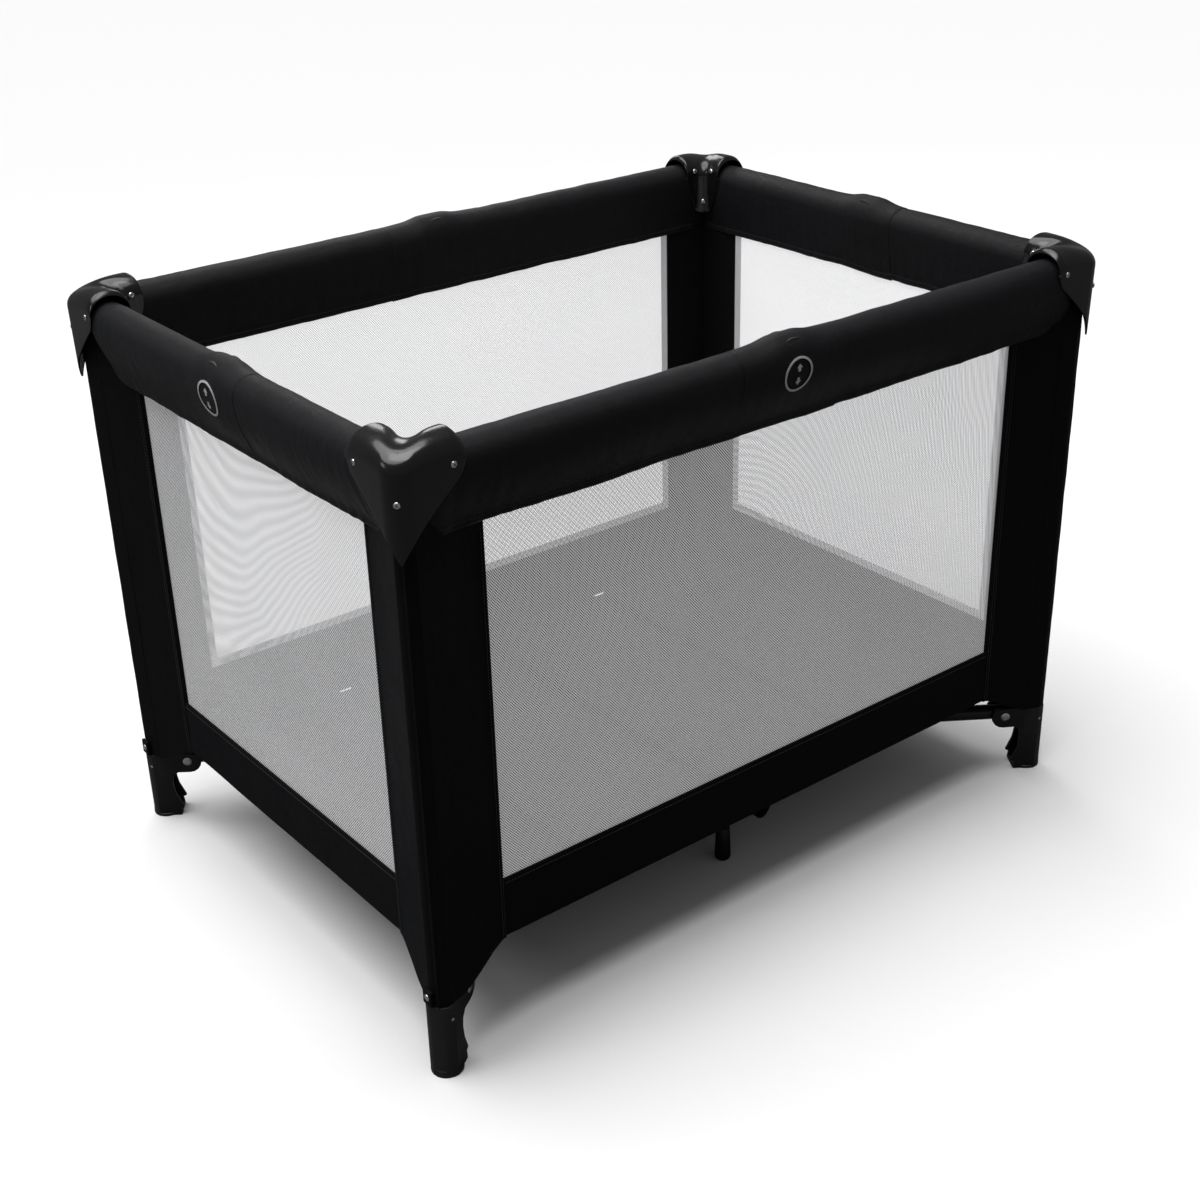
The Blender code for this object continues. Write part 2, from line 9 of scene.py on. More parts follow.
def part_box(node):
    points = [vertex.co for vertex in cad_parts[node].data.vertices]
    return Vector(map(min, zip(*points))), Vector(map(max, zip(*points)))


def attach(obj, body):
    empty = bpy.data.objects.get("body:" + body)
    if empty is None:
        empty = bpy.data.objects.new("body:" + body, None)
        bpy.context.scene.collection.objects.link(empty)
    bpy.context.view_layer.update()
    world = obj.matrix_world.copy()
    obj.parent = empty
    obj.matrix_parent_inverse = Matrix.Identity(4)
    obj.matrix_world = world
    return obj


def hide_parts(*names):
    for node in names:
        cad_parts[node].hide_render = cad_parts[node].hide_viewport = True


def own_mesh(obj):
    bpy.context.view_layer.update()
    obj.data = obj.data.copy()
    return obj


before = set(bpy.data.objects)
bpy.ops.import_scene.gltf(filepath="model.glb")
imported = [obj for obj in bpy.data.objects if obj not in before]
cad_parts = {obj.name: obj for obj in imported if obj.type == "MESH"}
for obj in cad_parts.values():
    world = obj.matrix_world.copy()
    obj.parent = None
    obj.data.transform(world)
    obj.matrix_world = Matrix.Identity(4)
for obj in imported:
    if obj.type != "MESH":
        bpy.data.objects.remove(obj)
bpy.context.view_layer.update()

# ------------------------------------------------------------------------------------------------
# The studio: a white room with a pale floor, even light from the ceiling, and soft boxes overhead,
# at the left and behind. The camera stands above and outside the front left corner.
# ------------------------------------------------------------------------------------------------
EYE = Vector((-1.324, -1.706, 1.379))
LOOK_AZIMUTH = math.radians(-37.933)
LOOK_ELEVATION = math.radians(26.684)
LOOK_ROLL = math.radians(-1.472)
LENS = 53.87
SENSOR = 36.0
FLOOR_HALF = 12.0
ROOM_GLOW = 0.16
ROOM_WHITE = 1.05
FLOOR_PALE = 0.94
FLOOR_BOUNCE = 0.10
UP = Vector((0.0, 0.0, 1.0))


def link(name, data):
    """An object for that data, in the scene."""
    made = bpy.data.objects.new(name, data)
    bpy.context.scene.collection.objects.link(made)
    return made


def set_camera():
    """The camera, turned by its azimuth, elevation and roll."""
    flat = math.cos(LOOK_ELEVATION)
    back = Vector((math.sin(LOOK_AZIMUTH) * flat, -math.cos(LOOK_AZIMUTH) * flat,
                   math.sin(LOOK_ELEVATION)))
    right = UP.cross(back).normalized()
    upright = back.cross(right)
    across = right * math.cos(LOOK_ROLL) + upright * math.sin(LOOK_ROLL)
    above = upright * math.cos(LOOK_ROLL) - right * math.sin(LOOK_ROLL)
    data = bpy.data.cameras.new("camera")
    data.lens = LENS
    data.sensor_width = SENSOR
    camera = link("camera", data)
    turned = Matrix((across, above, back)).transposed().to_4x4()
    camera.matrix_world = Matrix.Translation(EYE) @ turned
    bpy.context.scene.camera = camera


def soft_light(name, place, aim, width, power):
    """A square soft box that faces the point it is aimed at."""
    data = bpy.data.lights.new(name, "AREA")
    data.size = width
    data.energy = power
    lamp = link(name, data)
    lamp.location = place
    lamp.rotation_euler = (Vector(aim) - Vector(place)).to_track_quat("-Z", "Y").to_euler()


def seen_or_lit(tree, lit, seen):
    """One value for the light that bounces, and another for what is seen directly."""
    path = tree.nodes.new("ShaderNodeLightPath")
    value = tree.nodes.new("ShaderNodeMapRange")
    value.inputs["To Min"].default_value = lit
    value.inputs["To Max"].default_value = seen
    tree.links.new(path.outputs["Is Camera Ray"], value.inputs["Value"])
    return value.outputs["Result"]


def room_light():
    """A white room: full white behind the object, and a softer glow on it."""
    world = bpy.data.worlds.new("room")
    world.use_nodes = True
    tree = world.node_tree
    back = tree.nodes["Background"]
    tree.links.new(seen_or_lit(tree, ROOM_GLOW, ROOM_WHITE), back.inputs["Strength"])
    back.inputs["Color"].default_value = (1.0, 1.0, 1.0, 1.0)
    bpy.context.scene.world = world


def lay_floor():
    """The pale floor that the playpen stands on."""
    bm = bmesh.new()
    bmesh.ops.create_grid(bm, x_segments=1, y_segments=1, size=FLOOR_HALF)
    mesh = bpy.data.meshes.new("studio_floor")
    bm.to_mesh(mesh)
    bm.free()
    pale = bpy.data.materials.new("pale_floor")
    pale.use_nodes = True
    tree = pale.node_tree
    shader = tree.nodes["Principled BSDF"]
    tree.links.new(seen_or_lit(tree, FLOOR_BOUNCE, FLOOR_PALE), shader.inputs["Base Color"])
    shader.inputs["Roughness"].default_value = 0.9
    mesh.materials.append(pale)
    link("studio_floor", mesh)


def sky_light(strength, spread):
    """The even light from the whole ceiling, which leaves only soft shadows."""
    data = bpy.data.lights.new("ceiling", "SUN")
    data.energy = strength
    data.angle = math.radians(spread)
    link("ceiling", data).rotation_euler = (math.radians(-12.0), math.radians(-10.0), 0.0)


set_camera()
room_light()
lay_floor()
sky_light(2.9, 60.0)
soft_light("overhead", (-0.5, -0.3, 2.7), (0.0, 0.0, 0.4), 1.2, 14.0)
soft_light("front_left", (-3.2, 0.6, 2.2), (0.0, 0.0, 0.4), 0.8, 7.0)
soft_light("behind", (1.4, 2.6, 1.9), (0.0, 0.0, 0.6), 1.0, 10.0)
bpy.context.scene.view_settings.view_transform = "Standard"

# ------------------------------------------------------------------------------------------------
# The steel tubes: four posts, four base tubes that meet under the floor, eight half rails and two
# centre legs. Bent and cut tube with a black powder coat, which has a faint orange-peel texture.
# ------------------------------------------------------------------------------------------------
CORNERS = ("front_left", "front_right", "back_left", "back_right")
MERGE = 1e-5


class Finish:
    """A material with its shader, and short calls that add and join nodes."""

    def __init__(self, name):
        self.material = bpy.data.materials.new(name)
        self.material.use_nodes = True
        self.tree = self.material.node_tree
        self.shader = self.tree.nodes["Principled BSDF"]
        self.place = self.tree.nodes.new("ShaderNodeTexCoord").outputs["Object"]

    def set(self, **values):
        """Sets the shader's own sockets; an underscore in a name stands for a space."""
        for name, value in values.items():
            self.shader.inputs[name.replace("_", " ")].default_value = value

    def add(self, kind, inputs, **settings):
        """A node of that kind, with numbers set and sockets joined as given."""
        node = self.tree.nodes.new("ShaderNode" + kind)
        for name, value in settings.items():
            setattr(node, name, value)
        for name, value in inputs.items():
            if isinstance(value, bpy.types.NodeSocket):
                self.tree.links.new(value, node.inputs[name])
            else:
                node.inputs[name].default_value = value
        return node

    def join(self, output, name):
        """Joins a node's output to the shader's own socket."""
        self.tree.links.new(output, self.shader.inputs[name])

    def clouds(self, scale, detail=3.0, place=None):
        """Soft noise at that many spots per metre."""
        inputs = {"Vector": place or self.place, "Scale": scale, "Detail": detail}
        return self.add("TexNoise", inputs).outputs["Fac"]

    def span(self, value, low, high, at_low=0.0, at_high=1.0):
        """The value from low to high, stretched to run from at_low to at_high."""
        inputs = {"Value": value, "From Min": low, "From Max": high, "To Min": at_low,
                  "To Max": at_high}
        return self.add("MapRange", inputs).outputs["Result"]

    def bump(self, height, distance, strength=1.0, below=None):
        """A bump of that distance in metres, on top of another if one is given."""
        inputs = {"Height": height, "Distance": distance, "Strength": strength}
        if below:
            inputs["Normal"] = below
        return self.add("Bump", inputs).outputs["Normal"]

    def mix(self, factor, low, high):
        """One colour turning into another."""
        node = self.tree.nodes.new("ShaderNodeMix")
        node.data_type = "RGBA"
        self.tree.links.new(factor, node.inputs["Factor"])
        node.inputs[6].default_value = (*low, 1.0)
        node.inputs[7].default_value = (*high, 1.0)
        return node.outputs[2]


def powder_coat():
    finish = Finish("black_powder_coat")
    peel = finish.clouds(900.0, 2.0)
    patches = finish.clouds(14.0, 4.0)
    finish.join(finish.mix(patches, (0.006, 0.006, 0.007), (0.014, 0.014, 0.015)), "Base Color")
    finish.join(finish.span(patches, 0.3, 0.7, 0.30, 0.42), "Roughness")
    finish.join(finish.bump(peel, 0.00012), "Normal")
    return finish.material


def dress(node, material):
    """A CAD node keeps its shape and gets that finish."""
    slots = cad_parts[node].material_slots
    for one in slots:
        one.material = material


def keep_piece(name, bm, material, body, stands_for=(), sharp=40.0):
    """The finished mesh as an object that rides on a body and stands for its CAD nodes."""
    mesh = bpy.data.meshes.new(name)
    bm.to_mesh(mesh)
    bm.free()
    mesh.materials.append(material)
    mesh.polygons.foreach_set("use_smooth", [True] * len(mesh.polygons))
    mesh.set_sharp_from_angle(angle=math.radians(sharp))
    made = link(name, mesh)
    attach(made, body)
    if stands_for:
        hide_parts(*stands_for)
    return made


def round_edges(bm, edges, radius, segments, clamp=False):
    """Rounds those edges off."""
    bmesh.ops.bevel(bm, geom=edges, offset=radius, offset_type="OFFSET", segments=segments,
                    profile=0.5, affect="EDGES", material=-1, clamp_overlap=clamp)


def rounded_copy(node, name, material, body, round_by, segments=2, extra=None):
    """A finer copy of a CAD node: its faces joined up and its hard edges rounded."""
    bm = bmesh.new()
    bm.from_mesh(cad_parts[node].data)
    bmesh.ops.remove_doubles(bm, verts=bm.verts, dist=MERGE)
    bmesh.ops.dissolve_limit(bm, angle_limit=math.radians(1.0), verts=bm.verts, edges=bm.edges)
    hard = [e for e in bm.edges if len(e.link_faces) == 2
            and e.calc_face_angle() > math.radians(32.0)]
    round_edges(bm, hard, round_by, segments, True)
    if extra:
        extra(bm)
    return keep_piece(name, bm, material, body, (node,), 35.0)


STEEL = powder_coat()
TUBES = [name for name in sorted(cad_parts)
         if name.startswith(("post_", "base_tube_", "centre_leg_")) or name.startswith("rail_") and
         not name.startswith(("rail_cover_", "rail_latch_"))]
for tube in TUBES:
    dress(tube, STEEL)

# ------------------------------------------------------------------------------------------------
# The feet and hinge plastics: a moulded glass-filled nylon foot at each corner with a cheek each
# side of its base tube, the hub under the floor, the legs' tips, the rail latches and their buttons.
# ------------------------------------------------------------------------------------------------
FOOT_RADIUS = 0.0175
FOOT_ROUND = 0.0011
SMALL_ROUND = 0.0006
LIP_HEIGHT = 0.0045
LIP_PROUD = 0.0016


def moulded_plastic(name, low, high, rough_low, rough_high):
    """Black moulded plastic: fine spark texture, and scuffs that dull the gloss in patches."""
    finish = Finish(name)
    grain = finish.clouds(1400.0, 2.0)
    scuff = finish.clouds(34.0, 5.0)
    finish.join(finish.mix(scuff, low, high), "Base Color")
    finish.join(finish.span(scuff, 0.35, 0.68, rough_low, rough_high), "Roughness")
    finish.join(finish.bump(grain, 0.00006, 0.6), "Normal")
    finish.set(Specular_IOR_Level=0.45)
    return finish.material


@cache
def post_middle(corner):
    """The post's axis at floor level."""
    low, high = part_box("post_" + corner)
    return Vector(((low.x + high.x) / 2, (low.y + high.y) / 2, 0.0))


def corner_matrix(corner):
    """From a corner's own frame, inwards along both walls from the post, to the row frame."""
    post = post_middle(corner)
    inward_x = -math.copysign(1.0, post.x)
    inward_y = -math.copysign(1.0, post.y)
    return Matrix.Translation(post) @ Matrix.Diagonal((inward_x, inward_y, 1.0, 1.0))


def into_corner(bm, corner):
    """Moves a shape made in the corner's own frame to its corner, and keeps it right side out."""
    turned = corner_matrix(corner)
    bm.transform(turned)
    if turned.determinant() < 0:
        bmesh.ops.reverse_faces(bm, faces=bm.faces)


FOOT_PLASTIC = moulded_plastic("foot_nylon", (0.006, 0.006, 0.0065), (0.013, 0.013, 0.014), 0.30,
                               0.46)
DARK_PLASTIC = moulded_plastic("hinge_nylon", (0.010, 0.010, 0.011), (0.020, 0.020, 0.022), 0.38,
                               0.55)
BUTTON_PLASTIC = moulded_plastic("button_nylon", (0.16, 0.16, 0.17), (0.22, 0.22, 0.23), 0.35,
                                 0.50)


def foot_lip(bm, corner):
    """The rounded rim round the sole, part of the same moulding."""
    radius = FOOT_RADIUS + LIP_PROUD
    middle = Matrix.Translation(post_middle(corner) + UP * LIP_HEIGHT / 2)
    ring = bmesh.ops.create_cone(bm, cap_ends=True, segments=48, radius1=radius, radius2=radius,
                                 depth=LIP_HEIGHT, matrix=middle)["verts"]
    rim = [e for e in bm.edges if all(v in ring for v in e.verts)
           and abs(e.verts[0].co.z - e.verts[1].co.z) < MERGE]
    round_edges(bm, rim, LIP_PROUD * 0.8, 3)


for corner in CORNERS:
    rounded_copy("foot_" + corner, "moulded_foot_" + corner, FOOT_PLASTIC, "post_" + corner,
                 FOOT_ROUND, 2, lambda bm, corner=corner: foot_lip(bm, corner))
for end in ("front", "back"):
    rounded_copy("leg_tip_" + end, "moulded_leg_tip_" + end, FOOT_PLASTIC, "leg_" + end,
                 SMALL_ROUND)
    rounded_copy("centre_leg_" + end, "bent_leg_" + end, STEEL, "leg_" + end, 0.0002, 1)
rounded_copy("hub", "moulded_hub", DARK_PLASTIC, "hub", SMALL_ROUND)
for side in ("front", "back", "left", "right"):
    rounded_copy("rail_latch_" + side, "moulded_latch_" + side, DARK_PLASTIC, "latch_" + side,
                 SMALL_ROUND)
    dress("release_button_" + side, BUTTON_PLASTIC)

# ------------------------------------------------------------------------------------------------
# The rivets and screws: nickel-plated steel. Each foot has its hinge pin and a rivet through both
# cheeks, and each corner cap is held by six cross-headed screws.
# ------------------------------------------------------------------------------------------------
SCREW_RADIUS = 0.0036
SCREW_DOME = 0.0015
CROSS_LENGTH = 0.0042
CROSS_WIDTH = 0.0007


def nickel():
    finish = Finish("bright_nickel")
    finish.set(Metallic=1.0, Base_Color=(0.78, 0.77, 0.75, 1.0))
    finish.join(finish.span(finish.clouds(700.0), 0.3, 0.7, 0.16, 0.30), "Roughness")
    finish.join(finish.bump(finish.clouds(900.0), 0.00005), "Normal")
    return finish.material


# Painted shade: the cross cut in each screw head gets this dark colour, which stands for the shade in
# the cut.
def recess():
    finish = Finish("painted_screw_recess_shade")
    finish.join(finish.mix(finish.clouds(600.0), (0.05, 0.05, 0.05), (0.12, 0.12, 0.12)),
                "Base Color")
    finish.set(Roughness=0.6, Metallic=0.8)
    return finish.material


NICKEL = nickel()
PAINTED_RECESS_SHADE = recess()


def facing(place, normal, turn=0.0):
    """A matrix whose Z points along the normal."""
    turned = Vector(normal).to_track_quat("Z", "Y").to_matrix().to_4x4()
    return Matrix.Translation(place) @ turned @ Matrix.Rotation(turn, 4, "Z")


def add_dome(bm, place, normal, radius, height):
    """A low rounded head on a surface."""
    shape = facing(place, normal) @ Matrix.Diagonal((radius, radius, height, 1.0))
    bmesh.ops.create_uvsphere(bm, u_segments=20, v_segments=10, radius=1.0, matrix=shape)


def add_screw(bm, place, normal, turn):
    """A pan head with a cross cut in it."""
    add_dome(bm, place, normal, SCREW_RADIUS, SCREW_DOME)
    for quarter in (0.0, math.pi / 2):
        bar = facing(place, normal, turn + quarter) @ Matrix.Translation((0.0, 0.0,
                                                                          SCREW_DOME * 0.88))
        bar = bar @ Matrix.Diagonal((CROSS_LENGTH, CROSS_WIDTH, SCREW_DOME * 0.3, 1.0))
        cut = bmesh.ops.create_cube(bm, size=1.0, matrix=bar)["verts"]
        # The cross gets the second, dark material: painted shade in the cut.
        for face in {f for v in cut for f in v.link_faces}:
            face.material_index = 1


def keep_parts(name, bm, materials, body, stands_for=(), sharp=40.0):
    """As keep_piece, for a mesh whose faces use more than one material."""
    made = keep_piece(name, bm, materials[0], body, stands_for, sharp)
    for material in materials[1:]:
        made.data.materials.append(material)
    return made


FOOT_RIVETS = ((-0.0100, 0.0800, 0.0036), (0.0390, 0.0860, 0.0040))
RIVET_PROUD = 0.0016
CHEEK_FACE = 0.0166


def foot_diagonal(corner):
    """The point under the post, and unit vectors along the base tube, inwards, and across it."""
    post = post_middle(corner)
    inward = Vector((-post.x, -post.y, 0.0)).normalized()
    return post, inward, UP.cross(inward)


for corner in CORNERS:
    bm = bmesh.new()
    post, inward, across = foot_diagonal(corner)
    for run, height, radius in FOOT_RIVETS:
        for way in (-1.0, 1.0):
            face = math.sqrt(max(FOOT_RADIUS ** 2 - run ** 2, 0.0)) if run < 0 else CHEEK_FACE
            place = post + inward * run + across * way * face + UP * height
            normal = across * way if run > 0 else (place - post - UP * height).normalized()
            add_dome(bm, place, normal, radius, RIVET_PROUD)
    keep_piece("foot_rivets_" + corner, bm, NICKEL, "post_" + corner, (), 60.0)
    dress("foot_pin_" + corner, NICKEL)

# ------------------------------------------------------------------------------------------------
# The corner caps: a glossy black moulding over each post. Its two arms reach over the rails' ends,
# with a dip between them, and a pointed apron hangs down outside and a shorter one inside.
# ------------------------------------------------------------------------------------------------
ROUND_CORNER = 0.26
OUTER_FILLET = 0.024
INNER_FILLET = 0.016
RIDGE_FILLET = 0.017
SHOULDER_DROP = 0.024
SADDLE_DROP = 0.0062
LOBE_RISE = 0.0030
ARM_END_DROP = 0.0055
TIP_LIFT = 0.009
APRON_TUCK = 0.05
ARM_EDGE_Z = 0.722
INNER_TIP_Z = 0.676
INNER_EDGE_Z = 0.724
CAP_WALL = 0.0023
RIM_ROUND = 0.0006
SADDLE_SPREAD = 0.36
ARM_END_FROM = 0.86
ARM_END_RUN = 0.14
TIP_SOFTNESS = 0.035
INNER_SOFTNESS = 0.3
ARM_END_RISE = 0.011


def glossy_plastic():
    """High-gloss black polypropylene with a faint flow pattern and fine handling scratches."""
    finish = Finish("gloss_black_plastic")
    flow = finish.clouds(22.0, 4.0)
    stretched = finish.add("Mapping", {"Vector": finish.place, "Scale": (260.0, 260.0, 1600.0)})
    scratch = finish.clouds(1.0, 2.0, stretched.outputs["Vector"])
    finish.join(finish.mix(flow, (0.004, 0.004, 0.0045), (0.008, 0.008, 0.009)), "Base Color")
    finish.join(finish.span(flow, 0.35, 0.7, 0.16, 0.27), "Roughness")
    low = finish.bump(finish.clouds(90.0, 2.0), 0.0006, 0.35)
    finish.join(finish.bump(scratch, 0.00002, 0.5, low), "Normal")
    finish.set(Specular_IOR_Level=0.42, Coat_Weight=0.15, Coat_Roughness=0.08)
    return finish.material


GLOSS = glossy_plastic()


def cap_sizes():
    """How far the arms reach, their half width, the top and the tip, from the CAD cap."""
    low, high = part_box("cap_front_left")
    post = post_middle("front_left")
    return high.x - post.x, post.x - low.x, high.z, low.z + TIP_LIFT


ARM_REACH, ARM_HALF, CAP_TOP, CAP_TIP = cap_sizes()


def bent_line(turn, out, fillet):
    """A point of the line round the corner that runs `out` outside the arms' middle line."""
    corner = -out
    if abs(turn) < ROUND_CORNER:
        angle = math.radians(-135.0 + 45.0 * turn / ROUND_CORNER)
        middle = corner + fillet
        return middle + fillet * math.cos(angle), middle + fillet * math.sin(angle)
    run = (abs(turn) - ROUND_CORNER) / (1 - ROUND_CORNER)
    along = corner + fillet + (ARM_REACH - corner - fillet) * run
    return (along, corner) if turn > 0 else (corner, along)


def blunt(turn, softness):
    """The size of turn, rounded off at zero."""
    return math.sqrt(turn * turn + softness * softness) - softness


def cap_top(turn):
    """The ridge's height: a dip at the corner, and a fall at the arms' ends."""
    saddle = SADDLE_DROP * math.exp(-((turn / SADDLE_SPREAD) ** 2))
    ending = max(0.0, (abs(turn) - ARM_END_FROM) / ARM_END_RUN)
    return CAP_TOP + LOBE_RISE - saddle - ARM_END_DROP * ending ** 2.2


def apron_edge(turn, inner):
    """The lower edge's height: pointed at the corner, high at the arms' ends."""
    if inner:
        height = INNER_EDGE_Z - INNER_TIP_Z
        return INNER_TIP_Z + height * blunt(turn, INNER_SOFTNESS) / blunt(1.0, INNER_SOFTNESS)
    rise = blunt(turn, TIP_SOFTNESS) / blunt(1.0, TIP_SOFTNESS)
    corner = max(0.0, (abs(turn) - ARM_END_FROM) / ARM_END_RUN)
    return CAP_TIP + (ARM_EDGE_Z - CAP_TIP) * rise ** 0.74 + ARM_END_RISE * corner ** 2.5


def cap_point(turn, around):
    """The cap's outer skin: around runs from the outer apron's edge over the ridge to the inner's."""
    inner = around > 0
    top = cap_top(turn)
    shoulder = top - SHOULDER_DROP
    side_fillet = INNER_FILLET if inner else OUTER_FILLET
    if abs(around) < 0.5:
        angle = abs(around) * math.pi
        lean = math.sin(angle)
        height = shoulder + SHOULDER_DROP * math.cos(angle) ** 0.9
    else:
        lean = 1.0
        down = (abs(around) - 0.5) / 0.5
        edge = min(apron_edge(turn, inner), shoulder)
        height = shoulder + (edge - shoulder) * down
        lean -= APRON_TUCK * down
    out = ARM_HALF * lean * (-1 if inner else 1)
    fillet = RIDGE_FILLET + (side_fillet - RIDGE_FILLET) * min(lean, 1.0)
    a, b = bent_line(turn, out, fillet)
    return Vector((a, b, height))


def surface(bm, across, up, shape):
    """A grid whose points, from -1 to 1 both ways, are placed by shape(u, v)."""
    grid = bmesh.ops.create_grid(bm, x_segments=across, y_segments=up, size=1.0)["verts"]
    for point in grid:
        point.co = shape(point.co.x, point.co.y)
    return grid


def make_cap(corner):
    bm = bmesh.new()
    surface(bm, 84, 64, cap_point)
    bmesh.ops.recalc_face_normals(bm, faces=bm.faces)
    ridge = max(bm.faces, key=lambda f: f.calc_center_median().z)
    if ridge.normal.z < 0:
        bmesh.ops.reverse_faces(bm, faces=bm.faces)
    bmesh.ops.solidify(bm, geom=bm.faces, thickness=CAP_WALL)
    bm.normal_update()
    rim = [e for e in bm.edges if len(e.link_faces) == 2
           and e.calc_face_angle() > math.radians(60.0)]
    round_edges(bm, rim, RIM_ROUND, 2, True)
    into_corner(bm, corner)
    keep_piece("gloss_cap_" + corner, bm, GLOSS, "post_" + corner, ("cap_" + corner,),
               50.0)


CAP_SCREWS = (
    ((0.043, -ARM_HALF, 0.731), (0.0, -1.0, 0.0)),
    ((-ARM_HALF, 0.043, 0.731), (-1.0, 0.0, 0.0)),
    ((-0.0196, -0.0196, 0.704), (-1.0, -1.0, 0.0)),
    ((0.043, ARM_HALF, 0.7405), (0.0, 1.0, 0.25)),
    ((ARM_HALF, 0.043, 0.7405), (1.0, 0.0, 0.25)),
    ((0.0314, 0.0314, 0.694), (1.0, 1.0, 0.0)),
)

for corner in CORNERS:
    make_cap(corner)
    bm = bmesh.new()
    for index, (place, normal) in enumerate(CAP_SCREWS):
        add_screw(bm, Vector(place), Vector(normal), 0.5 + 1.1 * index)
    into_corner(bm, corner)
    keep_parts("cap_screws_" + corner, bm, (NICKEL, PAINTED_RECESS_SHADE), "post_" + corner, (), 60.0)

# ------------------------------------------------------------------------------------------------
# The rail covers: a foam tube round each half rail inside a sleeve of black polyester, which hangs
# down both sides of the net and is hemmed and stitched. A middle sleeve goes over each latch.
# ------------------------------------------------------------------------------------------------
SIDES = {"front": Vector((0, -1, 0)), "back": Vector((0, 1, 0)),
         "left": Vector((-1, 0, 0)), "right": Vector((1, 0, 0))}
FOAM_RADIUS = 0.0222
SLEEVE_RADIUS = 0.0236
MIDDLE_RADIUS = 0.0256
SKIRT_DROP = 0.0752
SKIRT_OUT = 0.002
SKIRT_IN = -0.0137
HUMP = 0.0040
HUMP_HALF = 0.034
COVER_START = 0.047
SKIRT_REACH = 0.033
SHORT_SKIRT = ("left", "back_left")
FOAM_FROM_PIN = 0.018
MIDDLE_FROM_PIN = 0.036
LAP = 0.012
RING_Z = 0.7115
RING_RADIUS = 0.0208
RING_WIDTH = 0.0026
WELL_DEPTH = 0.0042
WELL_RADIUS = 0.0165
WELL_EDGE = 0.0012
PATCH_RADIUS = 0.0163
PATCH_SIDES = 48
PATCH_STEP = 0.0029
PATCH_THICK = 0.0012
PRINT_PROUD = 0.0007
PRINT_THICK = 0.0004
HEM_STITCH = 0.88


def woven_cloth(name, low, high, thread, wrinkle, sheen, rough, shine):
    """A plain weave: threads as a fine bump, soft creases, and colour that drifts a little."""
    finish = Finish(name)
    wave = finish.add("VectorMath", {0: finish.place, 3: 2 * math.pi / thread}, operation="SCALE")
    rows = finish.add("VectorMath", {0: wave.outputs["Vector"]}, operation="SINE")
    weave = finish.add("VectorMath", {0: rows.outputs["Vector"], 1: (1.0, 1.0, 1.0)},
                       operation="DOT_PRODUCT")
    drift = finish.clouds(7.0, 5.0)
    fuzz = finish.clouds(520.0, 2.0)
    tone = finish.add("Math", {0: drift, 1: fuzz}, operation="ADD")
    finish.join(finish.mix(finish.span(tone.outputs[0], 0.6, 1.4), low, high), "Base Color")
    finish.join(finish.span(drift, 0.3, 0.7, rough - 0.06, rough + 0.08), "Roughness")
    folds = finish.bump(finish.clouds(26.0, 6.0), 0.006 * wrinkle, 0.5)
    finish.join(finish.bump(weave.outputs["Value"], thread * 0.10, 0.7, folds), "Normal")
    finish.set(Sheen_Weight=sheen, Sheen_Roughness=0.45, Sheen_Tint=(0.62, 0.68, 0.85, 1.0),
               Specular_IOR_Level=shine)
    return finish.material


def sewing_thread(name, low, high):
    finish = Finish(name)
    finish.join(finish.mix(finish.clouds(800.0), low, high), "Base Color")
    finish.join(finish.bump(finish.clouds(2500.0), 0.0001), "Normal")
    finish.set(Roughness=0.7)
    return finish.material


RAIL_CLOTH = woven_cloth("rail_polyester", (0.0040, 0.0040, 0.0046), (0.0088, 0.0088, 0.0104),
                         0.0006, 0.5, 0.03, 0.42, 0.16)
WALL_CLOTH = woven_cloth("wall_polyester", (0.0028, 0.0028, 0.0031), (0.0062, 0.0062, 0.0070),
                         0.0007, 0.5, 0.015, 0.58, 0.07)
THREAD = sewing_thread("black_thread", (0.020, 0.020, 0.022), (0.045, 0.045, 0.050))
PRINT = sewing_thread("pale_print", (0.52, 0.52, 0.52), (0.66, 0.66, 0.66))


@cache
def reach_of(side):
    """From the middle of the playpen out to the side's posts, and along the side to a post."""
    post = post_middle("front_left")
    across, along = abs(post.y), abs(post.x)
    return (across, along) if abs(SIDES[side].y) > 0.5 else (along, across)


@cache
def side_matrix(side):
    """From a side's own frame, along it, outwards from its posts and up, to the row frame."""
    out = SIDES[side]
    along = out.cross(UP)
    turned = Matrix((along, out, UP)).transposed().to_4x4()
    return Matrix.Translation(out * reach_of(side)[0]) @ turned


@cache
def corner_of(side, end):
    """The name of the corner at that end of a side; end is -1 or 1."""
    place = side_matrix(side) @ Vector((end * reach_of(side)[1], 0.0, 0.0))
    return ("front_" if place.y < 0 else "back_") + ("left" if place.x < 0 else "right")


def rail_height():
    low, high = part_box("rail_front_front_left")
    return (low.z + high.z) / 2


@cache
def latch_pin(side):
    """How far each latch pin is from the middle of the side; the rail tube ends 4 mm past it."""
    low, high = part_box("rail_" + side + "_" + corner_of(side, 1))
    ends = (low.x, high.x) if abs(SIDES[side].y) > 0.5 else (low.y, high.y)
    return min(abs(ends[0]), abs(ends[1])) + 0.004


RAIL_Z = rail_height()


def closed_form(bm, across, up, shape):
    """A grid placed by shape(u, v) from -1 to 1, joined from u = 1 to u = -1, its ends closed."""
    grid = bmesh.ops.create_grid(bm, x_segments=across, y_segments=up, size=1.0)["verts"]
    edges = {e for v in grid for e in v.link_edges}
    seam = [e for e in edges if all(abs(v.co.x - 1) < MERGE for v in e.verts)]
    seam += [e for e in edges if all(abs(v.co.x + 1) < MERGE for v in e.verts)]
    for point in grid:
        point.co = shape(point.co.x, point.co.y)
    bmesh.ops.bridge_loops(bm, edges=seam)
    bmesh.ops.holes_fill(bm, edges=[e for e in bm.edges if e.is_boundary], sides=0)
    bmesh.ops.recalc_face_normals(bm, faces=bm.faces)


def clamped(value):
    """The value, kept from none to one."""
    return min(1.0, max(0.0, value))


def eased(share):
    """A share from none to one that starts and ends gently."""
    return share * share * (3 - 2 * share)


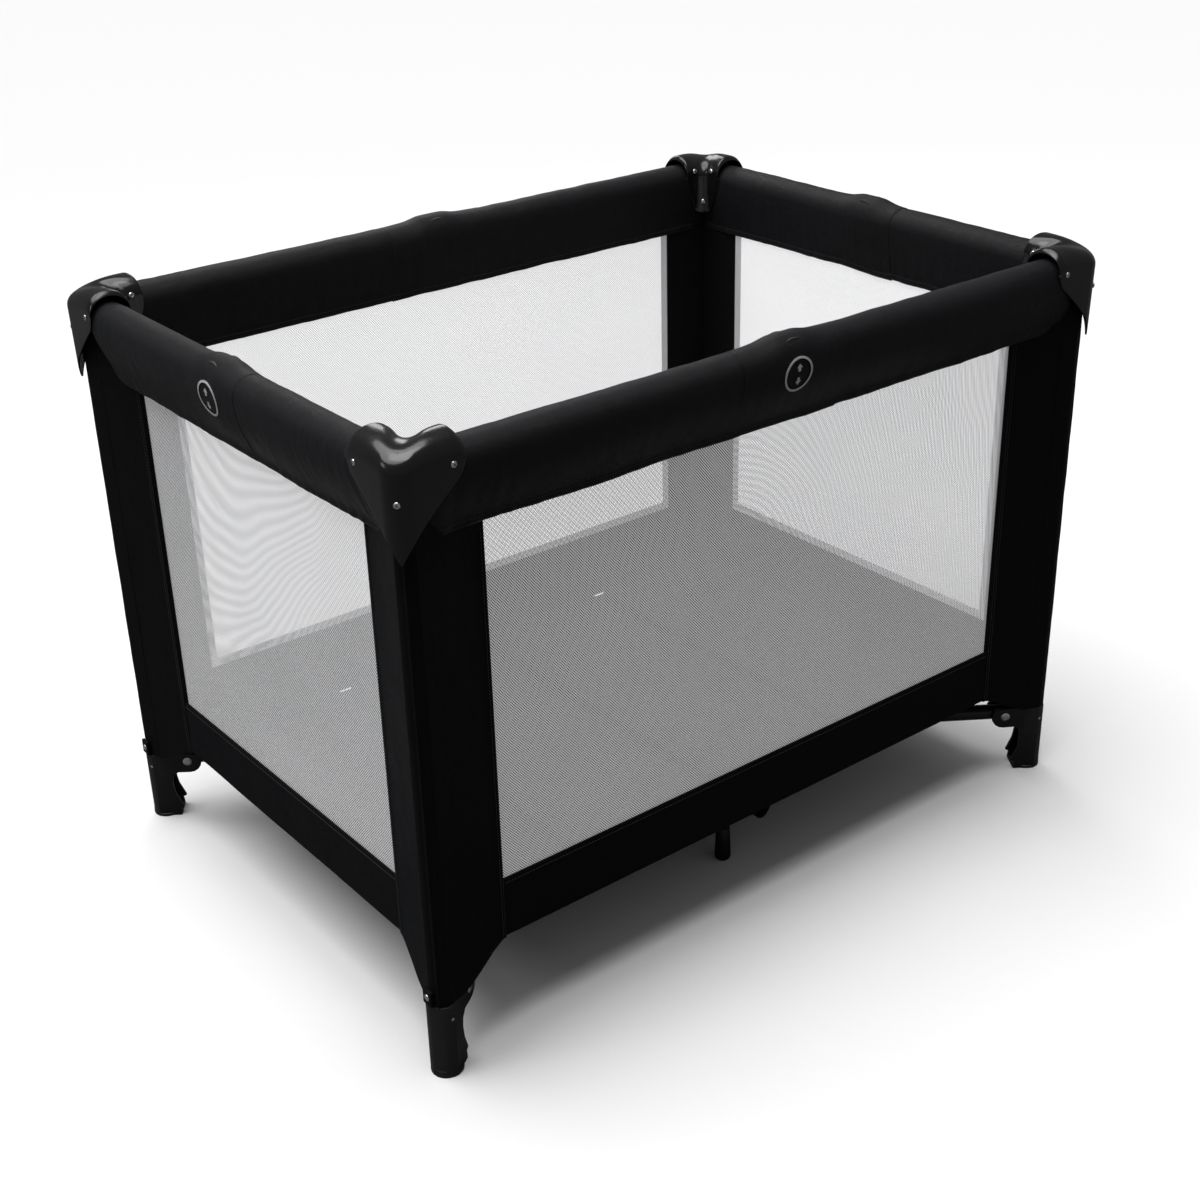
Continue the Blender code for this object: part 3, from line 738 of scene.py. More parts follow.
def show_out(bm, axis):
    """Turns an open sheet over if its faces look back along that axis."""
    if sum(f.normal[axis] for f in bm.faces) < 0:
        bmesh.ops.reverse_faces(bm, faces=bm.faces)


def hang(angle_share):
    """How full a hanging skirt is at that share of its drop: one at the rail, none at the hem."""
    return max(math.cos(angle_share * math.pi / 2), 0.0) ** 1.15


def sleeve_section(u, radius, drop, hump):
    """A sleeve's cross-section: out and up from the rail's middle, for u from -1 to 1 round it."""
    # In turn: the hem's fold, the outer skirt, over the foam, the inner skirt and its hem's fold.
    t = (u + 1) / 2
    groove = 0.010
    if t < 0.04:
        share = t / 0.04
        n = SKIRT_IN * 0.42 + (SKIRT_OUT - 0.0012 - SKIRT_IN * 0.42) * share
        return n, -drop + groove * (1 - share)
    if t < 0.36:
        down = 1 - (t - 0.04) / 0.32
        hem = 0.0011 * math.exp(-(((down - 0.955) / 0.035) ** 2))
        return SKIRT_OUT + (radius - SKIRT_OUT) * hang(down) + hem, -drop * down
    if t < 0.64:
        angle = math.pi * (t - 0.36) / 0.28
        return radius * math.cos(angle), (radius + hump) * math.sin(angle)
    if t < 0.96:
        down = (t - 0.64) / 0.32
        hem = 0.0011 * math.exp(-(((down - 0.955) / 0.035) ** 2))
        return SKIRT_IN - (radius + SKIRT_IN) * hang(down) - hem, -drop * down
    share = (t - 0.96) / 0.04
    return SKIRT_IN + 0.0012 + (-SKIRT_IN * 0.5) * share, -drop + groove * share


def soft_noise(s, z, seed, along_scale, up_scale):
    """Smooth creases: along_scale and up_scale are how many there are to a metre."""
    return noise.fractal(Vector((s * along_scale, z * up_scale, seed)), 1.0, 2.0, 3)


def add_stitches(bm, line, length, pitch=0.0042, width=0.0007):
    """A row of stitches along line(t), t from 0 to 1, which is that long."""
    row = bmesh.new()
    count = max(2, int(length / pitch))
    for index in range(count):
        start = line(index / count)
        end = line((index + 0.62) / count)
        run = end - start
        turned = run.to_track_quat("X", "Z").to_matrix().to_4x4()
        shape = Matrix.Translation((start + end) / 2) @ turned
        shape = shape @ Matrix.Diagonal((run.length, width, width, 1.0))
        bmesh.ops.create_cube(row, size=1.0, matrix=shape)
    for face in row.faces:
        face.material_index = 1
    rows = bpy.data.meshes.new("stitches")
    row.to_mesh(rows)
    row.free()
    bm.from_mesh(rows)
    bpy.data.meshes.remove(rows)


def cover_ends(side):
    """Where a half sleeve runs along its side, as distances from the post."""
    return COVER_START, reach_of(side)[1] - latch_pin(side) - MIDDLE_FROM_PIN + LAP


def half_sleeve_point(side, end, seed):
    """The shape of half a rail sleeve, hanging fuller and creased near the cap."""
    half = reach_of(side)[1]
    first, last = cover_ends(side)
    extended = (side, corner_of(side, end)) != SHORT_SKIRT
    rounding = 0.012 if extended else 0.030

    def point(u, v):
        d = first + (last - first) * (v + 1) / 2
        s = end * (half - d)
        near_cap = max(0.0, 1 - (d - first) / rounding)
        drop = SKIRT_DROP - rounding * (1 - math.sqrt(max(0.0, 1 - near_cap ** 2)))
        drop += 0.0022 * soft_noise(s, 0.0, seed + 5, 9.0, 1.0)
        n, up = sleeve_section(u, SLEEVE_RADIUS, drop, 0.0)
        low = clamped(-up / SKIRT_DROP)
        near = math.exp(-max(0.0, d - first) / 0.07)
        reach = SKIRT_REACH * min(1.0, low * 1.9) if extended else 0.0
        s += end * reach * max(0.0, 1 - (d - first) / 0.09) ** 1.5
        crease = (0.0008 + 0.0034 * near) * soft_noise(s, up, seed, 42.0,
                                                       9.0) * (0.25 + 0.75 * low)
        grow = math.copysign(crease, n)
        return Vector((s, n + grow, RAIL_Z + up + 0.0006 * soft_noise(s, up, seed + 3, 30.0,
                                                                      30.0)))

    return point


def add_hem_stitches(bm, point, length, share_of_drop):
    """Stitches along both hems of a sleeve."""
    for u in (-1 + 2 * (0.04 + 0.32 * (1 - share_of_drop)),
              -1 + 2 * (0.64 + 0.32 * share_of_drop)):
        def line(t, u=u):
            place = point(u, -0.985 + 1.97 * t)
            place.y += 0.0002 if u < 0 else -0.0002
            return place
        add_stitches(bm, line, length)


def settle(made):
    """Applies a piece's modifiers, so that its own mesh is the finished one."""
    graph = bpy.context.evaluated_depsgraph_get()
    made.data = bpy.data.meshes.new_from_object(made.evaluated_get(graph))
    made.modifiers.clear()
    return made


def foam_point(side, end):
    """The foam tube round half a rail."""
    half = reach_of(side)[1]
    last = half - latch_pin(side) - FOAM_FROM_PIN

    def point(u, v):
        d = COVER_START - 0.004 + (last - COVER_START + 0.004) * (v + 1) / 2
        angle = math.pi * u * 0.999
        ending = min(1.0, (1 - abs(v)) / 0.02)
        radius = FOAM_RADIUS * (0.86 + 0.14 * math.sqrt(ending * (2 - ending)))
        radius += 0.0004 * soft_noise(end * (half - d), angle * 0.02, 7.0, 40.0, 30.0)
        return Vector((end * (half - d), radius * math.cos(angle),
                       RAIL_Z + radius * math.sin(angle)))

    return point


for number, side in enumerate(SIDES):
    for end in (-1, 1):
        corner = corner_of(side, end)
        body = "rail_" + side + "_" + corner
        first, last = cover_ends(side)
        point = half_sleeve_point(side, end, 11.0 * number + end)
        bm = bmesh.new()
        closed_form(bm, 110, 120 if last > 0.3 else 72, point)
        add_hem_stitches(bm, point, last - first, HEM_STITCH)
        bm.transform(side_matrix(side))
        made = keep_parts("sleeve_" + side + "_" + corner, bm, (RAIL_CLOTH, THREAD), body,
                          ("rail_cover_" + side + "_" + corner,), 60.0)
        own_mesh(made)
        bm = bmesh.new()
        closed_form(bm, 40, 60, foam_point(side, end))
        bm.transform(side_matrix(side))
        foam = keep_piece("rail_padding_" + side + "_" + corner, bm, RAIL_CLOTH, body, (),
                          60.0)


def middle_reach(side):
    """From the middle of a side to where its middle sleeve ends."""
    return latch_pin(side) + MIDDLE_FROM_PIN


def hump_at(s):
    """The bulge over the latch, which fades out along the rail."""
    away = max(0.0, abs(s) - HUMP_HALF * 0.45) / (HUMP_HALF * 0.75)
    return HUMP * math.exp(-away ** 2 * 2.2)


def middle_radius(side, s):
    away = min(1.0, abs(s) / middle_reach(side))
    return SLEEVE_RADIUS + 0.0003 + (MIDDLE_RADIUS - SLEEVE_RADIUS) * (1 - away ** 2) ** 1.5


def middle_sleeve_point(side, seed):
    reach = middle_reach(side)

    def point(u, v):
        s = reach * v
        drop = SKIRT_DROP + 0.0003 + 0.0022 * soft_noise(s, 0.0, seed + 5, 9.0, 1.0)
        n, up = sleeve_section(u, middle_radius(side, s), drop, hump_at(s))
        if u < -0.2:
            away = math.hypot(s, RAIL_Z + up - RING_Z)
            n -= WELL_DEPTH * (1 - clamped((away - WELL_RADIUS) / WELL_EDGE))
        crease = 0.0005 * soft_noise(s, up, seed, 42.0, 9.0)
        return Vector((s, n + math.copysign(crease, n), RAIL_Z + up))

    return point


def outer_face(side, s, z):
    """How far out the middle sleeve's outer face is at that place."""
    radius = middle_radius(side, s)
    up = z - RAIL_Z
    if up >= 0:
        return radius * math.sqrt(max(0.0, 1 - (up / (radius + hump_at(s))) ** 2))
    return SKIRT_OUT + (radius - SKIRT_OUT) * hang(-up / SKIRT_DROP)


def middle_foam_point(side):
    reach = middle_reach(side) - 0.004

    def point(u, v):
        s = reach * v
        angle = math.pi * u * 0.999
        ending = min(1.0, (1 - abs(v)) / 0.05)
        radius = (middle_radius(side,
                                s) - 0.0008) * (0.86 + 0.14 * math.sqrt(ending * (2 - ending)))
        lift = hump_at(s) if 0 < u else 0.0
        return Vector((s, radius * math.cos(angle), RAIL_Z + (radius + lift) * math.sin(angle)))

    return point


ARROW = ((0.0, 0.0128), (-0.0045, 0.0078), (-0.0020, 0.0078), (-0.0020, 0.0036),
         (0.0020, 0.0036), (0.0020, 0.0078), (0.0045, 0.0078))
RING_PLANE = Matrix.Translation((0.0, 0.0, RING_Z)) @ Matrix.Rotation(math.pi / 2, 4, "X")


def lay_print(bm, side, proud):
    """Lays a flat print, drawn in the side's own frame, on the sleeve's outer face."""
    for v in bm.verts:
        v.co.y = outer_face(side, v.co.x, v.co.z) + proud


def make_ring(side):
    """The printed ring: a flat circle, its edge drawn in to the ring's width."""
    bm = bmesh.new()
    bmesh.ops.create_circle(bm, cap_ends=False, segments=72, radius=RING_RADIUS, matrix=RING_PLANE)
    inner = 1 - RING_WIDTH / RING_RADIUS
    drawn = bmesh.ops.extrude_edge_only(bm, edges=bm.edges)["geom"]
    middle = Matrix.Translation((0.0, 0.0, -RING_Z))
    bmesh.ops.scale(bm, vec=(inner, 1.0, inner), space=middle,
                    verts=[v for v in drawn if isinstance(v, bmesh.types.BMVert)])
    bmesh.ops.subdivide_edges(bm, edges=[e for e in bm.edges if not e.is_boundary], cuts=2)
    lay_print(bm, side, PRINT_PROUD)
    bmesh.ops.recalc_face_normals(bm, faces=bm.faces)
    show_out(bm, 1)
    bmesh.ops.solidify(bm, geom=bm.faces, thickness=PRINT_THICK)
    return bm


def make_button_patch(side):
    """The round of cloth over the button, with an arrow up and an arrow down printed on it."""
    bm = bmesh.new()
    bmesh.ops.create_circle(bm, cap_ends=True, segments=PATCH_SIDES, radius=PATCH_RADIUS,
                            matrix=RING_PLANE)
    for _ in range(5):
        middle = [f for f in bm.faces if len(f.verts) == PATCH_SIDES]
        bmesh.ops.inset_region(bm, faces=middle, thickness=PATCH_STEP, use_even_offset=True)
    lay_print(bm, side, -0.0001)
    bmesh.ops.recalc_face_normals(bm, faces=bm.faces)
    show_out(bm, 1)
    bmesh.ops.solidify(bm, geom=bm.faces, thickness=PATCH_THICK)
    for way in (-1, 1):
        corners = [bm.verts.new((x, 0.0, RING_Z + way * z)) for x, z in ARROW]
        face = bm.faces.new(corners)
        face.material_index = 1
        for v in corners:
            v.co.y = outer_face(side, v.co.x, v.co.z) + PRINT_PROUD
        if face.normal.y < 0:
            face.normal_flip()
    return bm


for number, side in enumerate(SIDES):
    point = middle_sleeve_point(side, 70.0 + number)
    bm = bmesh.new()
    closed_form(bm, 132, 96, point)
    add_hem_stitches(bm, point, 2 * middle_reach(side), HEM_STITCH)
    bm.transform(side_matrix(side))
    made = keep_parts("middle_sleeve_" + side, bm, (RAIL_CLOTH, THREAD), "latch_" + side, (),
                      60.0)
    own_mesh(made)
    bm = bmesh.new()
    closed_form(bm, 48, 40, middle_foam_point(side))
    bm.transform(side_matrix(side))
    foam = keep_piece("latch_padding_" + side, bm, RAIL_CLOTH, "latch_" + side, (),
                      60.0)
    bm = make_ring(side)
    bm.transform(side_matrix(side))
    ring = keep_piece("button_ring_" + side, bm, PRINT, "latch_" + side, (), 60.0)
    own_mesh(ring)
    bm = make_button_patch(side)
    bm.transform(side_matrix(side))
    patch = keep_parts("button_patch_" + side, bm, (RAIL_CLOTH, PRINT), "button_" + side, (),
                       60.0)
    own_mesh(patch)

# ------------------------------------------------------------------------------------------------
# The corner cloth: black polyester sewn round each post as a sleeve with a piped ridge down the
# outside, and a panel on each side of it that reaches to the net. The real panels gather as the
# playpen folds; here they hold fixed soft creases.
# ------------------------------------------------------------------------------------------------
SLEEVE_HALF = 0.0162
SLEEVE_EDGE = 0.022
SLEEVE_INNER = -0.0172
RIDGE_PROUD = 0.0017
PANEL_START = 0.0165
PANEL_OUT = 0.0158
WINDOW_OUT = -0.0084
WINDOW_IN = -0.0108
CLOTH_TOP = 0.699
BAND_LOW = 0.131
CORNER_LOW = 0.0985
DIP_FROM = 0.018
DIP_RUN = 0.078
SEAM_LOW = 0.135
SEAM_HIGH = 0.645


@cache
def window_edge(side):
    """How far the net's visible edge is from the post."""
    low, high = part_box("corner_sleeve_front_left")
    post = post_middle("front_left")
    return high.x - post.x if abs(SIDES[side].y) > 0.5 else high.y - post.y


def cloth_low(d):
    """The lower edge's height: level along the side, dipping to the foot at the post."""
    share = clamped((d - DIP_FROM) / DIP_RUN)
    return CORNER_LOW + (BAND_LOW - CORNER_LOW) * share * share * (3 - 2 * share)


def outer_panel(side, d):
    """How far out the taut panel is, from the sleeve's tangent to the window's edge."""
    return PANEL_OUT + (WINDOW_OUT - PANEL_OUT) * d / window_edge(side)


def panel_point(side, end, seed):
    half = reach_of(side)[1]
    last = window_edge(side)

    def point(u, v):
        share = 1 - abs(u)
        d = PANEL_START + (last - PANEL_START) * share
        if u < 0:
            n = outer_panel(side, d)
        else:
            n = SLEEVE_INNER + (WINDOW_IN - SLEEVE_INNER) * share
        low = cloth_low(d)
        z = low + (CLOTH_TOP - low) * (v + 1) / 2
        s = end * (half - d)
        pull = math.sin(math.pi * clamped(share))
        n += 0.0008 * pull * soft_noise(s, z, seed + (3 if u < 0 else 0), 14.0, 11.0)
        if abs(u) < 0.08:
            n += (0.0009 if u < 0 else -0.0009) * math.cos(u / 0.08 * math.pi / 2)
        return Vector((s, n, z))

    return point


def sleeve_outline(side_a, side_b, u):
    """The post sleeve's cross-section, in the corner's own frame."""
    t = (u + 1) / 2
    edge_a, edge_b = outer_panel(side_a, SLEEVE_EDGE), outer_panel(side_b, SLEEVE_EDGE)
    if t < 0.12:
        share = t / 0.12
        return SLEEVE_EDGE * (1 - share), -(edge_a + (SLEEVE_HALF - edge_a) * share) - 0.0003
    if t < 0.58:
        angle = math.radians(-90.0 - 90.0 * (t - 0.12) / 0.46)
        ridge = RIDGE_PROUD * math.exp(-((angle + math.radians(135.0)) / 0.11) ** 2)
        radius = SLEEVE_HALF + 0.0003 + ridge
        return radius * math.cos(angle), radius * math.sin(angle)
    if t < 0.70:
        share = (t - 0.58) / 0.12
        return -(SLEEVE_HALF + (edge_b - SLEEVE_HALF) * share) - 0.0003, SLEEVE_EDGE * share
    share = (t - 0.70) / 0.30
    inner = -SLEEVE_INNER + 0.0003
    if share < 0.25:
        return -edge_b + (inner + edge_b) * share / 0.25, SLEEVE_EDGE
    if share < 0.75:
        turn = (share - 0.5) / 0.25
        a, b = inner, inner
        if turn < 0:
            b += (SLEEVE_EDGE - inner) * -turn
        else:
            a += (SLEEVE_EDGE - inner) * turn
        return a, b
    return SLEEVE_EDGE, inner - (inner + edge_a) * (share - 0.75) / 0.25


def post_sleeve_point(corner, seed):
    side_a, side_b = corner.split("_")

    def point(u, v):
        a, b = sleeve_outline(side_a, side_b, u)
        z = CORNER_LOW + (CLOTH_TOP - CORNER_LOW) * (v + 1) / 2
        sway = 0.0004 * soft_noise(a * 3, z, seed, 20.0, 16.0)
        return Vector((a + sway, b + sway, z))

    return point


def add_seam(bm, side, end, d, start, stop, proud=0.0007):
    """A row of stitches up a panel's outer face."""
    half = reach_of(side)[1]

    def line(t):
        return Vector((end * (half - d), outer_panel(side, d) + proud, start + (stop - start) * t))

    add_stitches(bm, line, stop - start)


for number, corner in enumerate(CORNERS):
    bm = bmesh.new()
    closed_form(bm, 150, 60, post_sleeve_point(corner, 31.0 + number))
    into_corner(bm, corner)
    keep_piece("post_sleeve_" + corner, bm, WALL_CLOTH, "post_" + corner,
               ("corner_sleeve_" + corner,), 50.0)

for number, side in enumerate(SIDES):
    for end in (-1, 1):
        corner = corner_of(side, end)
        bm = bmesh.new()
        closed_form(bm, 60, 70, panel_point(side, end, 51.0 + 7 * number + end))
        for inset in (0.004, 0.0075):
            add_seam(bm, side, end, window_edge(side) - inset, SEAM_LOW, SEAM_HIGH)
        bm.transform(side_matrix(side))
        made = keep_parts("corner_panel_" + side + "_" + corner, bm, (WALL_CLOTH, THREAD),
                          "post_" + corner,
                          (), 50.0)
        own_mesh(made)

# ------------------------------------------------------------------------------------------------
# The walls: a window of white warp-knitted net on each side, its edges lapped inside the black
# cloth, and a band of black polyester below it that tucks in under the floor.
# ------------------------------------------------------------------------------------------------
NET_LAP = 0.010
BAND_TOP = 0.209
NET_TOP = 0.690
NET_PITCH = 0.0031
NET_ROW = 0.0036
NET_IN = -0.0121
NET_PAINTED_GLOW = 0.27
TUCK_IN = -0.040
TUCK_DROP = 0.023
NET_EASE = 0.06
BAND_LOWEST = 0.1045


def net_cloth():
    """Off-white knitted net: threads round staggered holes, drawn on the wall's own plane."""
    finish = Finish("white_net")
    parts = finish.add("SeparateXYZ", {0: finish.place})
    along = finish.add("Math", {0: parts.outputs["X"], 1: parts.outputs["Y"]}, operation="ADD")

    def wave(value, pitch):
        turn = finish.add("Math", {0: value, 1: 2 * math.pi / pitch}, operation="MULTIPLY")
        return finish.add("Math", {0: turn.outputs[0]}, operation="COSINE").outputs[0]

    columns = wave(along.outputs[0], NET_PITCH)
    rows = wave(parts.outputs["Z"], NET_ROW)
    holes = finish.add("Math", {0: columns, 1: rows}, operation="MULTIPLY").outputs[0]
    finish.join(finish.span(holes, 0.02, 0.16, 1.0, 0.0), "Alpha")
    drift = finish.clouds(5.0, 4.0)
    finish.join(finish.mix(drift, (0.80, 0.80, 0.82), (0.88, 0.88, 0.90)), "Base Color")
    finish.join(finish.mix(drift, (0.90, 0.90, 0.93), (1.0, 1.0, 1.0)), "Emission Color")
    finish.join(finish.bump(holes, 0.0004, 0.6), "Normal")
    # Painted light: the thin threads let light through, and a faint painted glow stands for it.
    finish.set(Roughness=0.75, Specular_IOR_Level=0.2, Emission_Strength=NET_PAINTED_GLOW)
    finish.material.surface_render_method = "DITHERED"
    return finish.material


NET = net_cloth()


def net_point(side, end, seed):
    half = reach_of(side)[1]
    first = window_edge(side) - NET_LAP

    def point(u, v):
        d = first + (half - first) * (u + 1) / 2
        z = BAND_TOP - NET_LAP + (NET_TOP - BAND_TOP + NET_LAP) * (v + 1) / 2
        s = end * (half - d)
        slack = min(1.0, (d - first) / NET_EASE) * clamped((z - BAND_TOP) / NET_EASE)
        n = NET_IN + 0.0022 * slack * soft_noise(s + half * 0.3, z, seed, 4.0, 5.0)
        if z > BAND_TOP:
            n -= 0.0024 * slack * math.sin(math.pi * (z - BAND_TOP) / (NET_TOP - BAND_TOP))
        return Vector((s, n, z))

    return point


def band_outline(low):
    """The band's cross-section: outer face, rounded lower edge, tuck and inner face."""
    return (
        (WINDOW_OUT, BAND_TOP), (WINDOW_OUT + 0.0006, BAND_TOP - 0.004),
        (WINDOW_OUT + 0.0009, low + 0.020),
        (WINDOW_OUT + 0.0012, low + 0.004), (WINDOW_OUT - 0.0012, low),
        (WINDOW_OUT - 0.006, low - 0.0025),
        (TUCK_IN, low - TUCK_DROP), (TUCK_IN, low - TUCK_DROP + 0.003),
        (WINDOW_OUT - 0.008, low + 0.001),
        (WINDOW_IN, low + 0.006), (WINDOW_IN, BAND_TOP - 0.004), (WINDOW_IN + 0.0006, BAND_TOP),
    )


def along_outline(points, t):
    """The place at share t of the way through a list of points."""
    run = t * (len(points) - 1)
    index = min(int(run), len(points) - 2)
    return Vector(points[index]).lerp(Vector(points[index + 1]), run - index)


def band_point(side, end, seed):
    half = reach_of(side)[1]
    first = window_edge(side) - 0.002

    def point(u, v):
        d = first + (half - first) * (v + 1) / 2
        s = end * (half - d)
        low = cloth_low(d) + 0.0010 * soft_noise(s, 0.0, seed, 7.0, 1.0)
        low = max(low, BAND_LOWEST + TUCK_DROP - 0.0045 * (d < 0.16))
        n, z = along_outline(band_outline(low), (u + 1) / 2)
        free = math.sin(math.pi * clamped((z - low) / (BAND_TOP - low)))
        n += 0.0012 * free * soft_noise(s, z, seed + 2, 11.0, 16.0)
        return Vector((s, n, z))

    return point


for number, side in enumerate(SIDES):
    for end in (-1, 1):
        corner = corner_of(side, end)
        half = reach_of(side)[1]
        stands_for = ("wall_" + side,) if end == 1 else ()
        bm = bmesh.new()
        surface(bm, 60, 50, net_point(side, end, 5.0 + number))
        show_out(bm, 1)
        bm.transform(side_matrix(side))
        net = keep_piece("net_" + side + "_" + corner, bm, NET, "post_" + corner, stands_for,
                         60.0)
        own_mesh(net)
        bm = bmesh.new()
        closed_form(bm, 110, 90, band_point(side, end, 17.0 + 3 * number + end))

        def top_seam(t, side=side, end=end, half=half):
            d = window_edge(side) + (half - window_edge(side)) * t
            return Vector((end * (half - d), WINDOW_OUT + 0.0010, BAND_TOP - 0.006))

        add_stitches(bm, top_seam, half - window_edge(side))
        bm.transform(side_matrix(side))
        made = keep_parts("lower_band_" + side + "_" + corner, bm, (WALL_CLOTH, THREAD),
                          "post_" + corner,
                          (), 50.0)
        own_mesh(made)

# ------------------------------------------------------------------------------------------------
# The floor: a tray of black cloth on the base tubes, cut here into a quarter over each of them so
# that it gathers along them, and the tabs that snap it to the feet.
# ------------------------------------------------------------------------------------------------
FLOOR_Z = 0.1050
FLOOR_TURN_UP = 0.0265
FLOOR_SAG = 0.0016
TAB_WIDTH = 0.016
TAB_HEIGHT = 0.020
TAB_THICK = 0.0044
TAB_Z = 0.1090
TAB_OUT = 0.0178
TAB_FACE = 0.0198
TAB_ROUND = 0.0011
SNAP_RADIUS = 0.0044
SNAP_PROUD = 0.0018
SNAP_FROM = 0.02005
TURN_UP_END = 0.152
TURN_UP_RUN = 0.030
FLOOR_THICK = 0.0012


def corner_share(d):
    """One beside the post, none where the wall's own tuck begins."""
    return eased(clamped((TURN_UP_END - d) / TURN_UP_RUN))


def floor_point(corner, seed):
    """A quarter of the tray: flat to the walls' tuck, and turned up by the post."""
    half_x = reach_of("front")[1] + TUCK_IN + 0.001
    half_y = reach_of("front")[0] + TUCK_IN + 0.001
    sign = Vector((math.copysign(1, post_middle(corner).x),
                   math.copysign(1, post_middle(corner).y)))

    def point(u, v):
        run_x, run_y = half_x * (u + 1) / 2, half_y * (v + 1) / 2
        from_x, from_y = half_x - TUCK_IN - run_x, half_y - TUCK_IN - run_y
        wide = half_x + FLOOR_TURN_UP * corner_share(from_y)
        deep = half_y + FLOOR_TURN_UP * corner_share(from_x)
        x, y = wide * (u + 1) / 2, deep * (v + 1) / 2
        up_x = (cloth_low(from_y) - FLOOR_Z) * max(0.0, x - half_x) / FLOOR_TURN_UP
        up_y = (cloth_low(from_x) - FLOOR_Z) * max(0.0, y - half_y) / FLOOR_TURN_UP
        sag = FLOOR_SAG * soft_noise(x, y, seed, 9.0, 9.0)
        sag = sag * (1 - ((u + 1) / 2) ** 6) * (1 - ((v + 1) / 2) ** 6)
        z = FLOOR_Z + max(sag, -FLOOR_THICK) + max(0.0, up_x, up_y)
        return Vector((sign.x * x, sign.y * y, z))

    return point


for number, corner in enumerate(CORNERS):
    bm = bmesh.new()
    surface(bm, 60, 44, floor_point(corner, 3.0))
    show_out(bm, 2)
    bmesh.ops.solidify(bm, geom=bm.faces, thickness=FLOOR_THICK)
    stands_for = ("floor_cloth",) if number == 0 else ()
    quarter = keep_piece("floor_quarter_" + corner, bm, WALL_CLOTH, "base_" + corner, stands_for,
                         60.0)
    post, inward, across = foot_diagonal(corner)
    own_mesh(quarter)
    bm = bmesh.new()
    spot = Matrix.Translation((-TAB_OUT, 0.0, TAB_Z))
    spot = spot @ Matrix.Diagonal((TAB_THICK, TAB_WIDTH, TAB_HEIGHT, 1.0))
    bmesh.ops.create_cube(bm, size=1.0, matrix=spot)
    round_edges(bm, list(bm.edges), TAB_ROUND, 3)
    add_dome(bm, Vector((-TAB_FACE, 0.0, TAB_Z)), Vector((-1, 0, 0)), SNAP_RADIUS, SNAP_PROUD)
    for face in bm.faces:
        if face.calc_center_median().x < -SNAP_FROM:
            face.material_index = 1
    into_corner(bm, corner)
    keep_parts("snap_tab_" + corner, bm, (WALL_CLOTH, NICKEL), "post_" + corner, (),
               60.0)

# ------------------------------------------------------------------------------------------------
# The mat: four foam panels in black quilted cloth, with sewn channels and a gap where it folds.
# Under it are the webbing strap that is pulled to fold the frame, and a hanging webbing loop.
# ------------------------------------------------------------------------------------------------
MAT_PANELS = 4
MAT_GAP = 0.0030
MAT_START_THICK = 0.0085
MAT_VOXEL = 0.0055
MAT_PRESSURE = 4.0
MAT_CAP = 0.0055
MAT_FRAMES = 20
STRAP_THICK = 0.0014
LOOP_AT = Vector((0.046, -0.270, 0.106))
LOOP_RADIUS = 0.0165
LOOP_DROP = 0.038
LOOP_WIDTH = 0.022
LOOP_LENGTH = 0.094
MAT_CORNER = 0.016
CHANNEL_INSET = 0.020
CHANNEL_HALF = 0.0042
CHANNEL_SUNK = 0.0038


def panel_block(width, depth, corner_radius, thick):
    """A flat block with rounded corners, its underside at zero."""
    bm = bmesh.new()
    shape = Matrix.Translation((0.0, 0.0, thick / 2)) @ Matrix.Diagonal((width, depth, thick, 1.0))
    bmesh.ops.create_cube(bm, size=1.0, matrix=shape)
    upright = [e for e in bm.edges if abs(e.verts[0].co.z - e.verts[1].co.z) > thick / 2]
    round_edges(bm, upright, corner_radius, 6)
    return bm


def swell(bm, cap):
    """Blows a block up as cloth under pressure and returns the mesh; a point moves at most cap."""
    mesh = bpy.data.meshes.new("mat_panel_start")
    bm.to_mesh(mesh)
    bm.free()
    block = link("mat_panel_start", mesh)
    remesh = block.modifiers.new("voxels", "REMESH")
    remesh.mode = "VOXEL"
    remesh.voxel_size = MAT_VOXEL
    settle(block)
    before = [v.co.copy() for v in block.data.vertices]
    cloth = block.modifiers.new("cloth", "CLOTH")
    cloth.settings.use_pressure = True
    cloth.settings.uniform_pressure_force = MAT_PRESSURE
    cloth.settings.effector_weights.gravity = 0.0
    cloth.settings.quality = 4
    for step in range(1, MAT_FRAMES + 1):
        bpy.context.scene.frame_set(step)
    settle(block)
    bpy.context.scene.frame_set(1)
    for point, start in zip(block.data.vertices, before):
        moved = point.co - start
        if moved.length > cap:
            moved = moved * (cap / moved.length)
        point.co = start + moved
        point.co.z = max(point.co.z, 0.0)
    done = block.data
    bpy.data.objects.remove(block)
    return done


def mat_places():
    """Each panel's middle and width, and the CAD mat's lowest and highest corners."""
    low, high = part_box("mat")
    width = (high.x - low.x) / MAT_PANELS
    return [(low.x + width * (index + 0.5), width) for index in range(MAT_PANELS)], low, high


def channel_depth(x, y, width, depth):
    """The sewn channels: one line round, in from the edges, and a cross line at each third."""
    edge = min(width / 2 - abs(x), depth / 2 - abs(y)) - CHANNEL_INSET
    thirds = abs(abs(y) - depth / 6)
    lines = min(abs(edge), thirds if edge > 0 else 1.0)
    return math.exp(-((lines / CHANNEL_HALF) ** 2))


